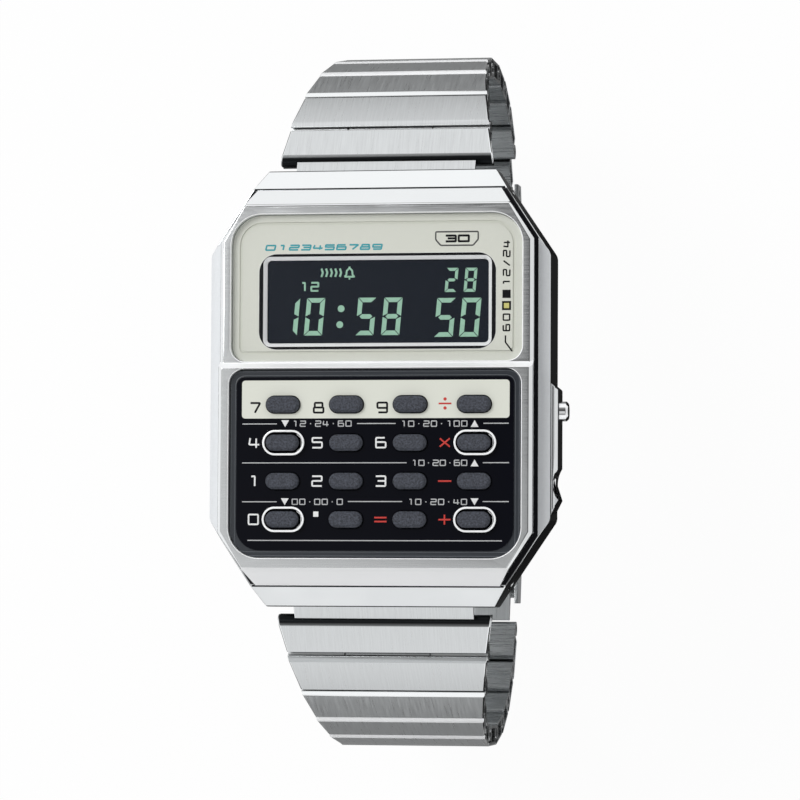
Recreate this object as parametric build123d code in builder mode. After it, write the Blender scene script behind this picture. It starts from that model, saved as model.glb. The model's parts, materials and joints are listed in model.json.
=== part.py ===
from build123d import *

import math
import os

# A digital watch with a sixteen-key calculator, on a bracelet of folded steel links.
# Origin: the middle of the case back's outer face. +Z is out through the display,
# +Y towards twelve o'clock, +X towards three o'clock. Millimetres.

# Case
case_length = 44.2
case_width = 34.7
flank_flare = 0.15
shoulder_height = 6.0
case_underside = 0.4
end_height = 4.3
rail_width = 1.15
rail_drop = 0.65
diagonal_length = 8.7
diagonal_width = 5.7
corner_radius = 1.5
flank_wall = 3.15
end_wall = 5.5
cavity_corner = 4.6
fit_gap = 0.05

# Bezel plate
rail_showing = 1.4
end_slope_run = 2.1
bezel_inset = 0.45
display_top = 7.85
keypad_top = 8.6
bezel_bevel = 0.37
end_slope_length = 2.0
window_side = 1.15
display_head_margin = 2.65
display_window_low = 2.5
keypad_window_high = 1.65
keypad_foot_margin = 2.75
window_radius_outer = 3.1
window_radius_inner = 1.5
riser_length = 0.5
riser_margin = 0.2
bezel_edge = 0.1

# Display
crystal_recess = 0.12
crystal_edge = 0.12
face_plate_thickness = 1.1
face_groove_inset = 0.75
face_groove_width = 0.3
face_groove_depth = 0.12
lcd_side_margin = 2.85
lcd_head_margin = 4.1
lcd_foot_margin = 1.25
lcd_frame_wall = 0.8
lcd_frame_rim = 0.65
lcd_frame_radius = 1.8
lcd_view_radius = 0.4
lcd_frame_slope = 0.35
lcd_frame_thickness = 0.5
lcd_glass_margin = 1.2
lcd_thickness = 1.0
connector_height = 0.95
connector_depth = 1.0

# Keypad
panel_recess = 0.35
panel_thickness = 0.7
panel_skirt = 0.6
panel_border = 0.75
panel_border_drop = 0.15
key_length = 3.36
key_depth = 1.62
key_gap = 0.1
key_rise = 0.62
key_travel = 0.4
key_flange = 0.35
key_flange_thickness = 0.4
key_flange_gap = 0.1
key_edge = 0.25
column_count = 4
row_count = 4
key_left_margin = 5.5
key_right_margin = 4.72
key_head_margin = 3.53
key_foot_margin = 3.85
guard_wall = 0.22
guard_ledge = 0.15
guard_shift = 0.12
guard_rise = 0.42
press_margin = 0.05

# Module
board_thickness = 0.6
frame_floor = 1.4
module_gap = 0.3
battery_diameter = 20.0
battery_thickness = 1.6
battery_gap = 0.15
battery_end_margin = 1.8
clip_width = 5.0
clip_thickness = 0.25
buzzer_diameter = 11.0
buzzer_thickness = 0.25
buzzer_end_margin = 0.3
dome_width = 2.2
dome_depth = 0.9
notch_clearance = 0.2
clip_margin = 2.4

# Case back
back_thickness = 0.9
back_seat = 1.1
back_corner = 2.0
back_edge = 0.2
gasket_width = 0.7
gasket_thickness = 0.5
gasket_inset = 0.25
screw_head_diameter = 1.9
screw_head_thickness = 0.45
screw_shank_diameter = 1.1
screw_length = 2.6
screw_inset = 2.1
screw_slot = 0.3

# Pushers
pusher_diameter = 2.0
pusher_gap = 0.05
pusher_height = 3.3
mode_pusher_y = -2.4
adjust_pusher_inset = 3.2
mode_pusher_proud = 0.85
adjust_pusher_proud = 0.1
pusher_travel = 0.45
pusher_stem_diameter = 1.2
pusher_stem_length = 0.7
pusher_collar_diameter = 2.6
pusher_edge = 0.2
pusher_collar_thickness = 0.3
guard_top_y = 0.4
guard_inset = 0.5
guard_reach = 0.6
guard_foot = 1.3
guard_head = 5.0
guard_ramp = 1.5
guard_bevel = 0.45
scoop_radius = 3.0
scoop_depth = 0.45

# Lugs and spring bars
bar_inset = 2.1
bar_height = 2.6
bar_diameter = 1.4
bar_tip_diameter = 0.8
bar_tip_length = 2.2
slot_room = 1.8
slot_ceiling = 3.9
neck_clearance = 0.2
running_gap = 0.05
tip_gap = 0.03

# Bracelet
link_pitch = 5.05
first_link_length = 7.95
sheet = 0.4
inner_sheet = 0.32
pin_depth = 1.35
knuckle_radius = 0.8
pin_diameter = 0.8
link_gap = 0.15
far_gap = 0.1
bevel_length = 0.6
bevel_drop = 0.3
lug_width = 2.25
neck_radius = 1.05
neck_sheet = 0.4
first_web_start = 3.5
plate_start = 3.1
nose_radius = 0.9
nose_depth = 1.05
fold_radius = 0.5
tongue_share = 0.42
pin_inset = 0.5
pin_press_gap = 0.02
side_bevel = 0.12
link_shoulder = 0.65
band_end_width = 16.0
taper_shares = (1.0, 0.767, 0.517, 0.283, 0.1, 0, 0, 0, 0, 0, 0)
link_headings = (30.5, 48.0, 59.5, 70.0, 80.0, 90.0, 102.0, 116.0, 132.0, 150.5)
link_count = len(link_headings)

# Folding clasp
clasp_radius = 90.0
clasp_sheet = 0.45
clasp_knuckle_radius = 0.55
clasp_pin_diameter = 0.6
clasp_layer_gap = 0.2
cover_gap = 0.75
cover_overlap = 0.2
cover_wall = 0.45
plate_side_gap = 0.45
blade_side_gap = 0.8
end_link_side_gap = 0.35
blade_hinge_inset = 9.35
cover_hinge_inset = 3.75
cover_end_inset = 2.05
ear_margin = 0.95
adjust_pitch = 3.5
adjust_holes = 3
ear_hole_diameter = 0.7
cover_heel = 0.9
cover_start = 0.3
clasp_play = 0.15

# Any cut runs past its solid by this much
overrun = 2.0

os.makedirs("parts", exist_ok=True)
case_end = case_length / 2
flank_x = case_width / 2
end_width = case_width - 2 * diagonal_width
diagonal_start = case_end - diagonal_length
diagonal_slope = (flank_x - end_width / 2) / (case_end - diagonal_start)
cavity_width = case_width - 2 * flank_wall
cavity_length = case_length - 2 * end_wall
bezel_width = case_width - 2 * rail_showing
bezel_length = case_length - 2 * end_slope_run
window_width = bezel_width - 2 * window_side
display_window_high = bezel_length / 2 - display_head_margin
keypad_window_low = keypad_foot_margin - bezel_length / 2
guard_out = flank_x + flank_flare + guard_reach
guard_bottom_y = guard_inset - diagonal_start
adjust_pusher_y = guard_bottom_y + adjust_pusher_inset
scoop_bottom = guard_out - scoop_depth
slot_width = end_width - 2 * lug_width
neck_width = slot_width - 2 * neck_clearance
first_link_width = end_width - 2 * link_shoulder
link_widths = [band_end_width + (first_link_width - band_end_width) * share for share in taper_shares]


def write(builder, name):
    builder.part.label = name
    export_step(builder.part, f"parts/{name}.step")


def eight_sides(half_width, half_length, corner_y, half_end):
    """The corner points of the case outline, anticlockwise."""
    right = [(half_width, -corner_y), (half_width, corner_y), (half_end, half_length)]
    return right + [(-half_end, half_length)] + [(-x, -y) for x, y in right] + [(half_end, -half_length)]


def inset_outline(inset, half_width, half_length):
    """The case outline moved inwards, cut off at its own width and length."""
    shifted = flank_x - inset * math.hypot(1, diagonal_slope)
    corner_y = diagonal_start + (shifted - half_width) / diagonal_slope
    half_end = shifted - (half_length - diagonal_start) * diagonal_slope
    return eight_sides(half_width, half_length, corner_y, half_end)


def cut_corner_box(width, length, corner, grow=0):
    """A rectangle with its corners cut off, grown evenly on all eight sides."""
    x, y = width / 2 + grow, length / 2 + grow
    c = corner + grow * (2 - math.sqrt(2))
    return [(x, c - y), (x, y - c), (x - c, y), (c - x, y), (-x, y - c), (-x, c - y), (c - x, -y), (x - c, -y)]


def case_section(height, outline):
    """A level section of the case, with its four flank corners rounded."""
    with BuildSketch(Plane.XY.offset(height)) as section:
        Polygon(*outline, align=None)
        corners = section.vertices().filter_by(lambda v: abs(v.Y) < diagonal_start + fit_gap)
        fillet(corners, corner_radius)
    return section.sketch


def window(height, width, low, high, low_radius, high_radius, inset=0):
    """A window's outline, with one radius at the foot and another at the head."""
    with BuildSketch(Plane.XY.offset(height)) as opening:
        with Locations((0, (low + high) / 2)):
            Rectangle(width - 2 * inset, high - low - 2 * inset)
        fillet(opening.vertices().group_by(Axis.Y)[0], low_radius - inset)
        fillet(opening.vertices().group_by(Axis.Y)[-1], high_radius - inset)
    return opening.sketch


def display_window(height, inset=0):
    return window(height, window_width, display_window_low, display_window_high,
                  window_radius_inner, window_radius_outer, inset)


def keypad_window(height, inset=0):
    return window(height, window_width, keypad_window_low, keypad_window_high,
                  window_radius_outer, window_radius_inner, inset)


# Levels that the stack of the module and the covers gives
rail_height = shoulder_height - rail_drop
face_plate_top = shoulder_height + face_plate_thickness
crystal_top = display_top - crystal_recess
panel_top = keypad_top - panel_recess
panel_underside = panel_top - panel_thickness
flange_top = panel_underside - key_flange_gap
flange_foot = flange_top - key_flange_thickness
membrane_top = flange_foot - key_travel - press_margin
lcd_top = face_plate_top - lcd_frame_thickness
lcd_foot = lcd_top - lcd_thickness
board_top = lcd_foot - connector_height
board_foot = board_top - board_thickness
module_width = cavity_width - 2 * module_gap
module_length = cavity_length - 2 * module_gap
battery_y = battery_end_margin + (battery_diameter - module_length) / 2
buzzer_y = (module_length - buzzer_diameter) / 2 - buzzer_end_margin
clip_length = module_width - 2 * clip_margin
# The keys spread evenly between the margins that their panel leaves
first_x, last_x = key_left_margin - window_width / 2, window_width / 2 - key_right_margin
first_y, last_y = keypad_window_high - key_head_margin, keypad_window_low + key_foot_margin
key_columns = [first_x + (last_x - first_x) * n / (column_count - 1) for n in range(column_count)]
key_rows = [first_y + (last_y - first_y) * n / (row_count - 1) for n in range(row_count)]
key_places = [(x, y) for y in key_rows for x in key_columns]
# the outer keys of every second row have a guard ring, set a little towards three o'clock
guard_places = [(x + guard_shift, y) for y in key_rows[1::2] for x in (key_columns[0], key_columns[-1])]
pusher_places = (mode_pusher_y, adjust_pusher_y)
back_width = cavity_width + 2 * back_seat
back_length = cavity_length + 2 * back_seat
screw_x = back_width / 2 - screw_inset
screw_y = back_length / 2 - screw_inset
bar_y = case_end - bar_inset
slot_wall_y = bar_y - slot_room
# notches in the board and the frame leave room for the pushed stems
notch_width = pusher_collar_diameter + 2 * module_gap
stem_reach = pusher_gap + pusher_collar_thickness + pusher_stem_length + pusher_travel
notch_depth = stem_reach + notch_clearance - module_gap

# Case body: an eight-sided tub, open above and below
with BuildPart() as case_body:
    foot_outline = eight_sides(flank_x + flank_flare, case_end, diagonal_start, end_width / 2)
    rail_outline = eight_sides(flank_x, case_end, diagonal_start, end_width / 2)
    add(case_section(case_underside, foot_outline))
    add(case_section(rail_height, rail_outline))
    loft()
    add(case_section(rail_height, rail_outline))
    extrude(amount=rail_drop, dir=(0, 0, 1))
    # the guard that shields the pushers, a low swelling on the right flank
    with BuildSketch(Plane.XY.offset(guard_foot)):
        with BuildLine():
            Polyline((cavity_width / 2, guard_top_y), (flank_x, guard_top_y),
                     (guard_out, guard_top_y - guard_reach), (guard_out, guard_bottom_y + guard_ramp),
                     (flank_x, guard_bottom_y), (cavity_width / 2, guard_bottom_y), close=True)
        make_face()
    extrude(amount=guard_head - guard_foot)
    guard_rim = case_body.edges().filter_by(
        lambda e: e.center().X > guard_out - fit_gap and abs(e.center().Z - guard_head) < fit_gap)
    chamfer(guard_rim, guard_bevel)
    # a nail scoop in the guard, in front of the lower pusher
    with BuildSketch(Plane.XY.offset(guard_foot)):
        with Locations((scoop_bottom + scoop_radius, adjust_pusher_y)):
            Circle(scoop_radius)
    extrude(amount=guard_head - guard_foot, mode=Mode.SUBTRACT)
    # the rails slope down to the flanks
    with BuildSketch(Plane.XZ.offset(-case_end)):
        for side in (-1, 1):
            with BuildLine():
                Polyline((side * (flank_x - rail_width), shoulder_height),
                         (side * flank_x, rail_height),
                         (side * (flank_x + overrun), rail_height),
                         (side * (flank_x + overrun), shoulder_height), close=True)
            make_face()
    extrude(amount=case_length, mode=Mode.SUBTRACT)
    # both ends slope down to the bracelet
    with BuildSketch(Plane.YZ.offset(-case_width)):
        steepness = (shoulder_height - end_height) / end_slope_run
        for side in (-1, 1):
            with BuildLine():
                Polyline((side * (case_end - end_slope_run), shoulder_height),
                         (side * (case_end + overrun), end_height - overrun * steepness),
                         (side * (case_end + overrun), shoulder_height + overrun),
                         (side * (case_end - end_slope_run), shoulder_height + overrun), close=True)
            make_face()
    extrude(amount=2 * case_width, mode=Mode.SUBTRACT)
    # the cavity for the module
    with BuildSketch(Plane.XY):
        Polygon(*cut_corner_box(cavity_width, cavity_length, cavity_corner), align=None)
    extrude(amount=shoulder_height + overrun, mode=Mode.SUBTRACT)
    # the seat of the case back
    with BuildSketch(Plane.XY):
        Polygon(*cut_corner_box(back_width, back_length, back_corner, fit_gap), align=None)
    extrude(amount=back_thickness, mode=Mode.SUBTRACT)
    # the groove of the gasket
    with BuildSketch(Plane.XY.offset(back_thickness)):
        Polygon(*cut_corner_box(cavity_width, cavity_length, cavity_corner, gasket_inset + gasket_width),
                align=None)
    extrude(amount=gasket_thickness, mode=Mode.SUBTRACT)
    # the slots that take the bracelet's necks
    slot_depth = case_end + overrun - slot_wall_y
    with BuildSketch(Plane.XY):
        for side in (-1, 1):
            with Locations((0, side * (slot_wall_y + slot_depth / 2))):
                Rectangle(slot_width, slot_depth)
    extrude(amount=slot_ceiling, mode=Mode.SUBTRACT)
    # the spring bars' holes go through both flanks
    with BuildSketch(Plane.YZ.offset(-case_width)):
        with Locations((bar_y, bar_height), (-bar_y, bar_height)):
            Circle(bar_tip_diameter / 2 + tip_gap)
    extrude(amount=2 * case_width, mode=Mode.SUBTRACT)
    # the pushers' bores
    with BuildSketch(Plane.YZ):
        with Locations(*((y, pusher_height) for y in pusher_places)):
            Circle(pusher_diameter / 2 + pusher_gap)
    extrude(amount=case_width, mode=Mode.SUBTRACT)
    # threaded holes of the case back's screws
    with BuildSketch(Plane.XY):
        with GridLocations(2 * screw_x, 2 * screw_y, 2, 2):
            Circle(screw_shank_diameter / 2)
    extrude(amount=screw_length + press_margin, mode=Mode.SUBTRACT)
write(case_body, "case_body")

# Bezel: one plate with both windows, its keypad half raised above the display half
with BuildPart() as bezel:
    with BuildSketch(Plane.XY.offset(shoulder_height)):
        Polygon(*inset_outline(bezel_inset, bezel_width / 2, bezel_length / 2), align=None)
    extrude(amount=keypad_top - shoulder_height)
    riser_foot = display_window_low - riser_margin
    with BuildSketch(Plane.YZ.offset(-case_width)):
        with BuildLine():
            Polyline((riser_foot - riser_length, keypad_top), (riser_foot, display_top),
                     (bezel_length / 2 - end_slope_length, display_top),
                     (bezel_length / 2, shoulder_height + bezel_edge),
                     (case_length, shoulder_height + bezel_edge),
                     (case_length, keypad_top + overrun),
                     (riser_foot - riser_length, keypad_top + overrun), close=True)
        make_face()
        with BuildLine():
            Polyline((end_slope_length - bezel_length / 2, keypad_top),
                     (-bezel_length / 2, shoulder_height + bezel_edge),
                     (-case_length, shoulder_height + bezel_edge),
                     (-case_length, keypad_top + overrun),
                     (end_slope_length - bezel_length / 2, keypad_top + overrun), close=True)
        make_face()
    extrude(amount=2 * case_width, mode=Mode.SUBTRACT)
    tops = bezel.faces().filter_by(Axis.Z).filter_by(lambda f: f.center().Z > display_top - fit_gap)
    rims = tops.edges().filter_by(lambda e: abs((e @ 1 - e @ 0).Y) > fit_gap)
    chamfer(rims, bezel_bevel)
    add(display_window(shoulder_height))
    add(keypad_window(shoulder_height))
    extrude(amount=keypad_top - shoulder_height, dir=(0, 0, 1), mode=Mode.SUBTRACT)
write(bezel, "bezel")

# Face plate, with a shallow groove all round, an opening for the display's frame and a
# pocket below for the display's glass
lcd_frame_width = window_width - 2 * lcd_side_margin
lcd_frame_height = display_window_high - display_window_low - lcd_head_margin - lcd_foot_margin
lcd_middle = display_window_low + lcd_foot_margin + lcd_frame_height / 2
lcd_view_width = lcd_frame_width - 2 * lcd_frame_wall
lcd_view_height = lcd_frame_height - 2 * lcd_frame_rim
glass_width = lcd_view_width + 2 * lcd_glass_margin
glass_height = lcd_view_height + 2 * lcd_glass_margin
with BuildPart() as face_plate:
    add(display_window(shoulder_height, fit_gap))
    extrude(amount=face_plate_thickness, dir=(0, 0, 1))
    with BuildSketch(Plane.XY.offset(lcd_top)):
        with Locations((0, lcd_middle)):
            RectangleRounded(lcd_frame_width + 2 * fit_gap, lcd_frame_height + 2 * fit_gap, lcd_frame_radius)
    extrude(amount=lcd_frame_thickness, mode=Mode.SUBTRACT)
    with BuildSketch(Plane.XY.offset(shoulder_height)):
        with Locations((0, lcd_middle)):
            Rectangle(glass_width + 2 * fit_gap, glass_height + 2 * fit_gap)
    extrude(amount=lcd_top - shoulder_height, mode=Mode.SUBTRACT)
    with BuildSketch(Plane.XY.offset(face_plate_top - face_groove_depth)) as groove:
        add(display_window(face_plate_top - face_groove_depth, face_groove_inset))
        add(display_window(face_plate_top - face_groove_depth, face_groove_inset + face_groove_width),
            mode=Mode.SUBTRACT)
    extrude(amount=face_groove_depth, mode=Mode.SUBTRACT)
write(face_plate, "face_plate")

with BuildPart() as crystal:
    add(display_window(face_plate_top, fit_gap))
    extrude(amount=crystal_top - face_plate_top, dir=(0, 0, 1))
    chamfer(crystal.faces().sort_by(Axis.Z)[-1].edges(), crystal_edge)
write(crystal, "crystal")

# The bright frame round the display, sloping in towards the glass
with BuildPart() as lcd_frame:
    with BuildSketch(Plane.XY.offset(lcd_top)):
        with Locations((0, lcd_middle)):
            RectangleRounded(lcd_frame_width, lcd_frame_height, lcd_frame_radius)
            RectangleRounded(lcd_view_width, lcd_view_height, lcd_view_radius, mode=Mode.SUBTRACT)
    extrude(amount=lcd_frame_thickness)
    inner_rim = lcd_frame.faces().sort_by(Axis.Z)[-1].inner_wires()[0].edges()
    chamfer(inner_rim, lcd_frame_slope)
write(lcd_frame, "lcd_frame")

with BuildPart() as lcd_panel:
    with BuildSketch(Plane.XY.offset(lcd_foot)):
        with Locations((0, lcd_middle)):
            Rectangle(glass_width, glass_height)
    extrude(amount=lcd_thickness)
write(lcd_panel, "lcd_panel")

# Striped rubber strips carry the display's signals up from the board
with BuildPart() as lcd_connectors:
    with BuildSketch(Plane.XY.offset(board_top)):
        with Locations((0, lcd_middle)):
            with GridLocations(0, lcd_view_height + lcd_glass_margin, 1, 2):
                Rectangle(lcd_view_width, connector_depth)
    extrude(amount=connector_height)
write(lcd_connectors, "lcd_connectors")

# Keypad panel: a shallow tray, face up, with a guard ring round four of its keys
hole_length, hole_depth = key_length + 2 * key_gap, key_depth + 2 * key_gap
guard_length, guard_depth = hole_length + 2 * guard_ledge, hole_depth + 2 * guard_ledge
with BuildPart() as keypad_panel:
    add(keypad_window(shoulder_height, fit_gap))
    extrude(amount=panel_top - shoulder_height, dir=(0, 0, 1))
    add(keypad_window(shoulder_height, fit_gap + panel_skirt))
    extrude(amount=panel_underside - shoulder_height, dir=(0, 0, 1), mode=Mode.SUBTRACT)
    with BuildSketch(Plane.XY.offset(panel_top - panel_border_drop)):
        add(keypad_window(panel_top - panel_border_drop))
        add(keypad_window(panel_top - panel_border_drop, panel_border), mode=Mode.SUBTRACT)
    extrude(amount=panel_border_drop, mode=Mode.SUBTRACT)
    with BuildSketch(Plane.XY.offset(panel_top)):
        with Locations(*guard_places):
            SlotOverall(guard_length + 2 * guard_wall, guard_depth + 2 * guard_wall)
            SlotOverall(guard_length, guard_depth, mode=Mode.SUBTRACT)
    extrude(amount=guard_rise)
    with BuildSketch(Plane.XY.offset(panel_underside)):
        with Locations(*key_places):
            SlotOverall(hole_length, hole_depth)
    extrude(amount=keypad_top - panel_underside + overrun, mode=Mode.SUBTRACT)
write(keypad_panel, "keypad_panel")

# Each key has a flange under the panel that keeps it in
key_names = ("7", "8", "9", "divide", "4", "5", "6", "multiply", "1", "2", "3", "minus",
             "0", "point", "equals", "plus")
for key_name, place in zip(key_names, key_places):
    with BuildPart() as key:
        with BuildSketch(Plane.XY.offset(flange_foot)):
            with Locations(place):
                SlotOverall(key_length + 2 * key_flange, key_depth + 2 * key_flange)
        extrude(amount=key_flange_thickness)
        with BuildSketch(Plane.XY.offset(flange_top)):
            with Locations(place):
                SlotOverall(key_length, key_depth)
        extrude(amount=panel_top + key_rise - flange_top)
        chamfer(key.faces().sort_by(Axis.Z)[-1].edges(), key_edge)
    write(key, f"key_{key_name}")

# A rubber sheet under the keys, hollow below each one, brings them back up
with BuildPart() as keypad_membrane:
    half_sheet = module_width / 2
    sheet_head = keypad_window_high - window_radius_inner
    sheet_foot = -module_length / 2
    with BuildSketch(Plane.XY.offset(board_top)):
        Polygon((half_sheet, sheet_head), (-half_sheet, sheet_head),
                (-half_sheet, sheet_foot + cavity_corner), (cavity_corner - half_sheet, sheet_foot),
                (half_sheet - cavity_corner, sheet_foot), (half_sheet, sheet_foot + cavity_corner),
                align=None)
    extrude(amount=membrane_top - board_top)
    with BuildSketch(Plane.XY.offset(board_top)):
        with Locations(*key_places):
            Rectangle(dome_width, dome_width)
    extrude(amount=dome_depth, mode=Mode.SUBTRACT)
write(keypad_membrane, "keypad_membrane")

# The module: a moulded frame under the circuit board, with the battery in a pocket below
with BuildPart() as circuit_board:
    with BuildSketch(Plane.XY.offset(board_foot)):
        Polygon(*cut_corner_box(module_width, module_length, cavity_corner), align=None)
        with Locations(*((module_width / 2, y) for y in pusher_places)):
            Rectangle(2 * notch_depth, notch_width, mode=Mode.SUBTRACT)
    extrude(amount=board_thickness)
write(circuit_board, "circuit_board")

battery_foot = frame_floor + clip_thickness
with BuildPart() as module_frame:
    with BuildSketch(Plane.XY.offset(frame_floor)):
        Polygon(*cut_corner_box(module_width, module_length, cavity_corner), align=None)
        with Locations(*((module_width / 2, y) for y in pusher_places)):
            Rectangle(2 * notch_depth, notch_width, mode=Mode.SUBTRACT)
    extrude(amount=board_foot - frame_floor)
    with BuildSketch(Plane.XY.offset(frame_floor)):
        with Locations((0, battery_y)):
            Circle(battery_diameter / 2 + battery_gap)
    extrude(amount=battery_foot + battery_thickness - frame_floor, mode=Mode.SUBTRACT)
    with BuildSketch(Plane.XY.offset(frame_floor)):
        with Locations((0, battery_y)):
            Rectangle(clip_length + 2 * fit_gap, clip_width + 2 * fit_gap)
    extrude(amount=clip_thickness, mode=Mode.SUBTRACT)
write(module_frame, "module_frame")

with BuildPart() as coin_battery:
    with BuildSketch(Plane.XY.offset(battery_foot)):
        with Locations((0, battery_y)):
            Circle(battery_diameter / 2)
    extrude(amount=battery_thickness)
write(coin_battery, "coin_battery")

with BuildPart() as battery_clip:
    with BuildSketch(Plane.XY.offset(frame_floor)):
        with Locations((0, battery_y)):
            Rectangle(clip_length, clip_width)
            SlotOverall(clip_length / 2, clip_width / 2, mode=Mode.SUBTRACT)
    extrude(amount=clip_thickness)
write(battery_clip, "battery_clip")

with BuildPart() as piezo_buzzer:
    with BuildSketch(Plane.XY.offset(back_thickness)):
        with Locations((0, buzzer_y)):
            Circle(buzzer_diameter / 2)
    extrude(amount=buzzer_thickness)
write(piezo_buzzer, "piezo_buzzer")

# Case back, its gasket and the four screws that hold it
with BuildPart() as case_gasket:
    with BuildSketch(Plane.XY.offset(back_thickness)):
        Polygon(*cut_corner_box(cavity_width, cavity_length, cavity_corner, gasket_inset + gasket_width),
                align=None)
        Polygon(*cut_corner_box(cavity_width, cavity_length, cavity_corner, gasket_inset),
                align=None, mode=Mode.SUBTRACT)
    extrude(amount=gasket_thickness)
write(case_gasket, "case_gasket")

with BuildPart() as case_back:
    with BuildSketch(Plane.XY):
        Polygon(*cut_corner_box(back_width, back_length, back_corner), align=None)
    extrude(amount=back_thickness)
    chamfer(case_back.faces().sort_by(Axis.Z)[0].edges(), back_edge)
    with BuildSketch(Plane.XY):
        with GridLocations(2 * screw_x, 2 * screw_y, 2, 2):
            Circle(screw_shank_diameter / 2 + fit_gap)
    extrude(amount=back_thickness, mode=Mode.SUBTRACT)
    with BuildSketch(Plane.XY):
        with GridLocations(2 * screw_x, 2 * screw_y, 2, 2):
            Circle(screw_head_diameter / 2 + fit_gap)
    extrude(amount=screw_head_thickness, mode=Mode.SUBTRACT)
write(case_back, "case_back")

with BuildPart() as case_back_screws:
    with BuildSketch(Plane.XY):
        with GridLocations(2 * screw_x, 2 * screw_y, 2, 2):
            Circle(screw_head_diameter / 2)
    extrude(amount=screw_head_thickness)
    with BuildSketch(Plane.XY.offset(screw_head_thickness)):
        with GridLocations(2 * screw_x, 2 * screw_y, 2, 2):
            Circle(screw_shank_diameter / 2)
    extrude(amount=screw_length - screw_head_thickness)
    with BuildSketch(Plane.XY):
        with GridLocations(2 * screw_x, 2 * screw_y, 2, 2):
            Rectangle(screw_head_diameter, screw_slot)
            Rectangle(screw_slot, screw_head_diameter)
    extrude(amount=screw_head_thickness / 2, mode=Mode.SUBTRACT)
write(case_back_screws, "case_back_screws")

# Pushers: a round head, a collar that stays inside the case, and a stem to the module
for pusher_name, y, reach in (("mode", mode_pusher_y, guard_out + mode_pusher_proud),
                              ("adjust", adjust_pusher_y, scoop_bottom + adjust_pusher_proud)):
    collar_x = cavity_width / 2 - pusher_gap - pusher_collar_thickness
    with BuildPart() as pusher:
        with BuildSketch(Plane.YZ.offset(collar_x)):
            with Locations((y, pusher_height)):
                Circle(pusher_diameter / 2)
        extrude(amount=reach - collar_x)
        chamfer(pusher.faces().sort_by(Axis.X)[-1].edges(), pusher_edge)
        with BuildSketch(Plane.YZ.offset(collar_x)):
            with Locations((y, pusher_height)):
                Circle(pusher_collar_diameter / 2)
        extrude(amount=pusher_collar_thickness)
        with BuildSketch(Plane.YZ.offset(collar_x - pusher_stem_length)):
            with Locations((y, pusher_height)):
                Circle(pusher_stem_diameter / 2)
        extrude(amount=pusher_stem_length)
    write(pusher, f"{pusher_name}_pusher")

with BuildPart() as spring_bars:
    bar_middle = slot_width - 2 * link_gap
    for length, diameter in ((bar_middle, bar_diameter), (bar_middle + 2 * bar_tip_length, bar_tip_diameter)):
        with BuildSketch(Plane.YZ):
            with Locations((bar_y, bar_height), (-bar_y, bar_height)):
                Circle(diameter / 2)
        extrude(amount=length / 2, both=True)
write(spring_bars, "spring_bars")


# Bracelet
def chain_pivots():
    """Where each hinge lies on the twelve o'clock side, as (y, z), from the spring bar on."""
    points = [(bar_y, bar_height)]
    for n, heading in enumerate(link_headings):
        length = first_link_length if n == 0 else link_pitch
        angle = math.radians(heading)
        y, z = points[-1]
        points.append((y + length * math.cos(angle), z - length * math.sin(angle)))
    return points


def link_plane(side, pivot, heading):
    """The plane across a link: its x runs along the bracelet and its y points outwards."""
    angle = math.radians(heading)
    y, z = pivot
    return Plane(origin=(0, side * y, z), x_dir=(0, side * math.cos(angle), -math.sin(angle)),
                 z_dir=(side, 0, 0))


def box_outline(start, stop, foot, head):
    return [(start, foot), (stop, foot), (stop, head), (start, head)]


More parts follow.
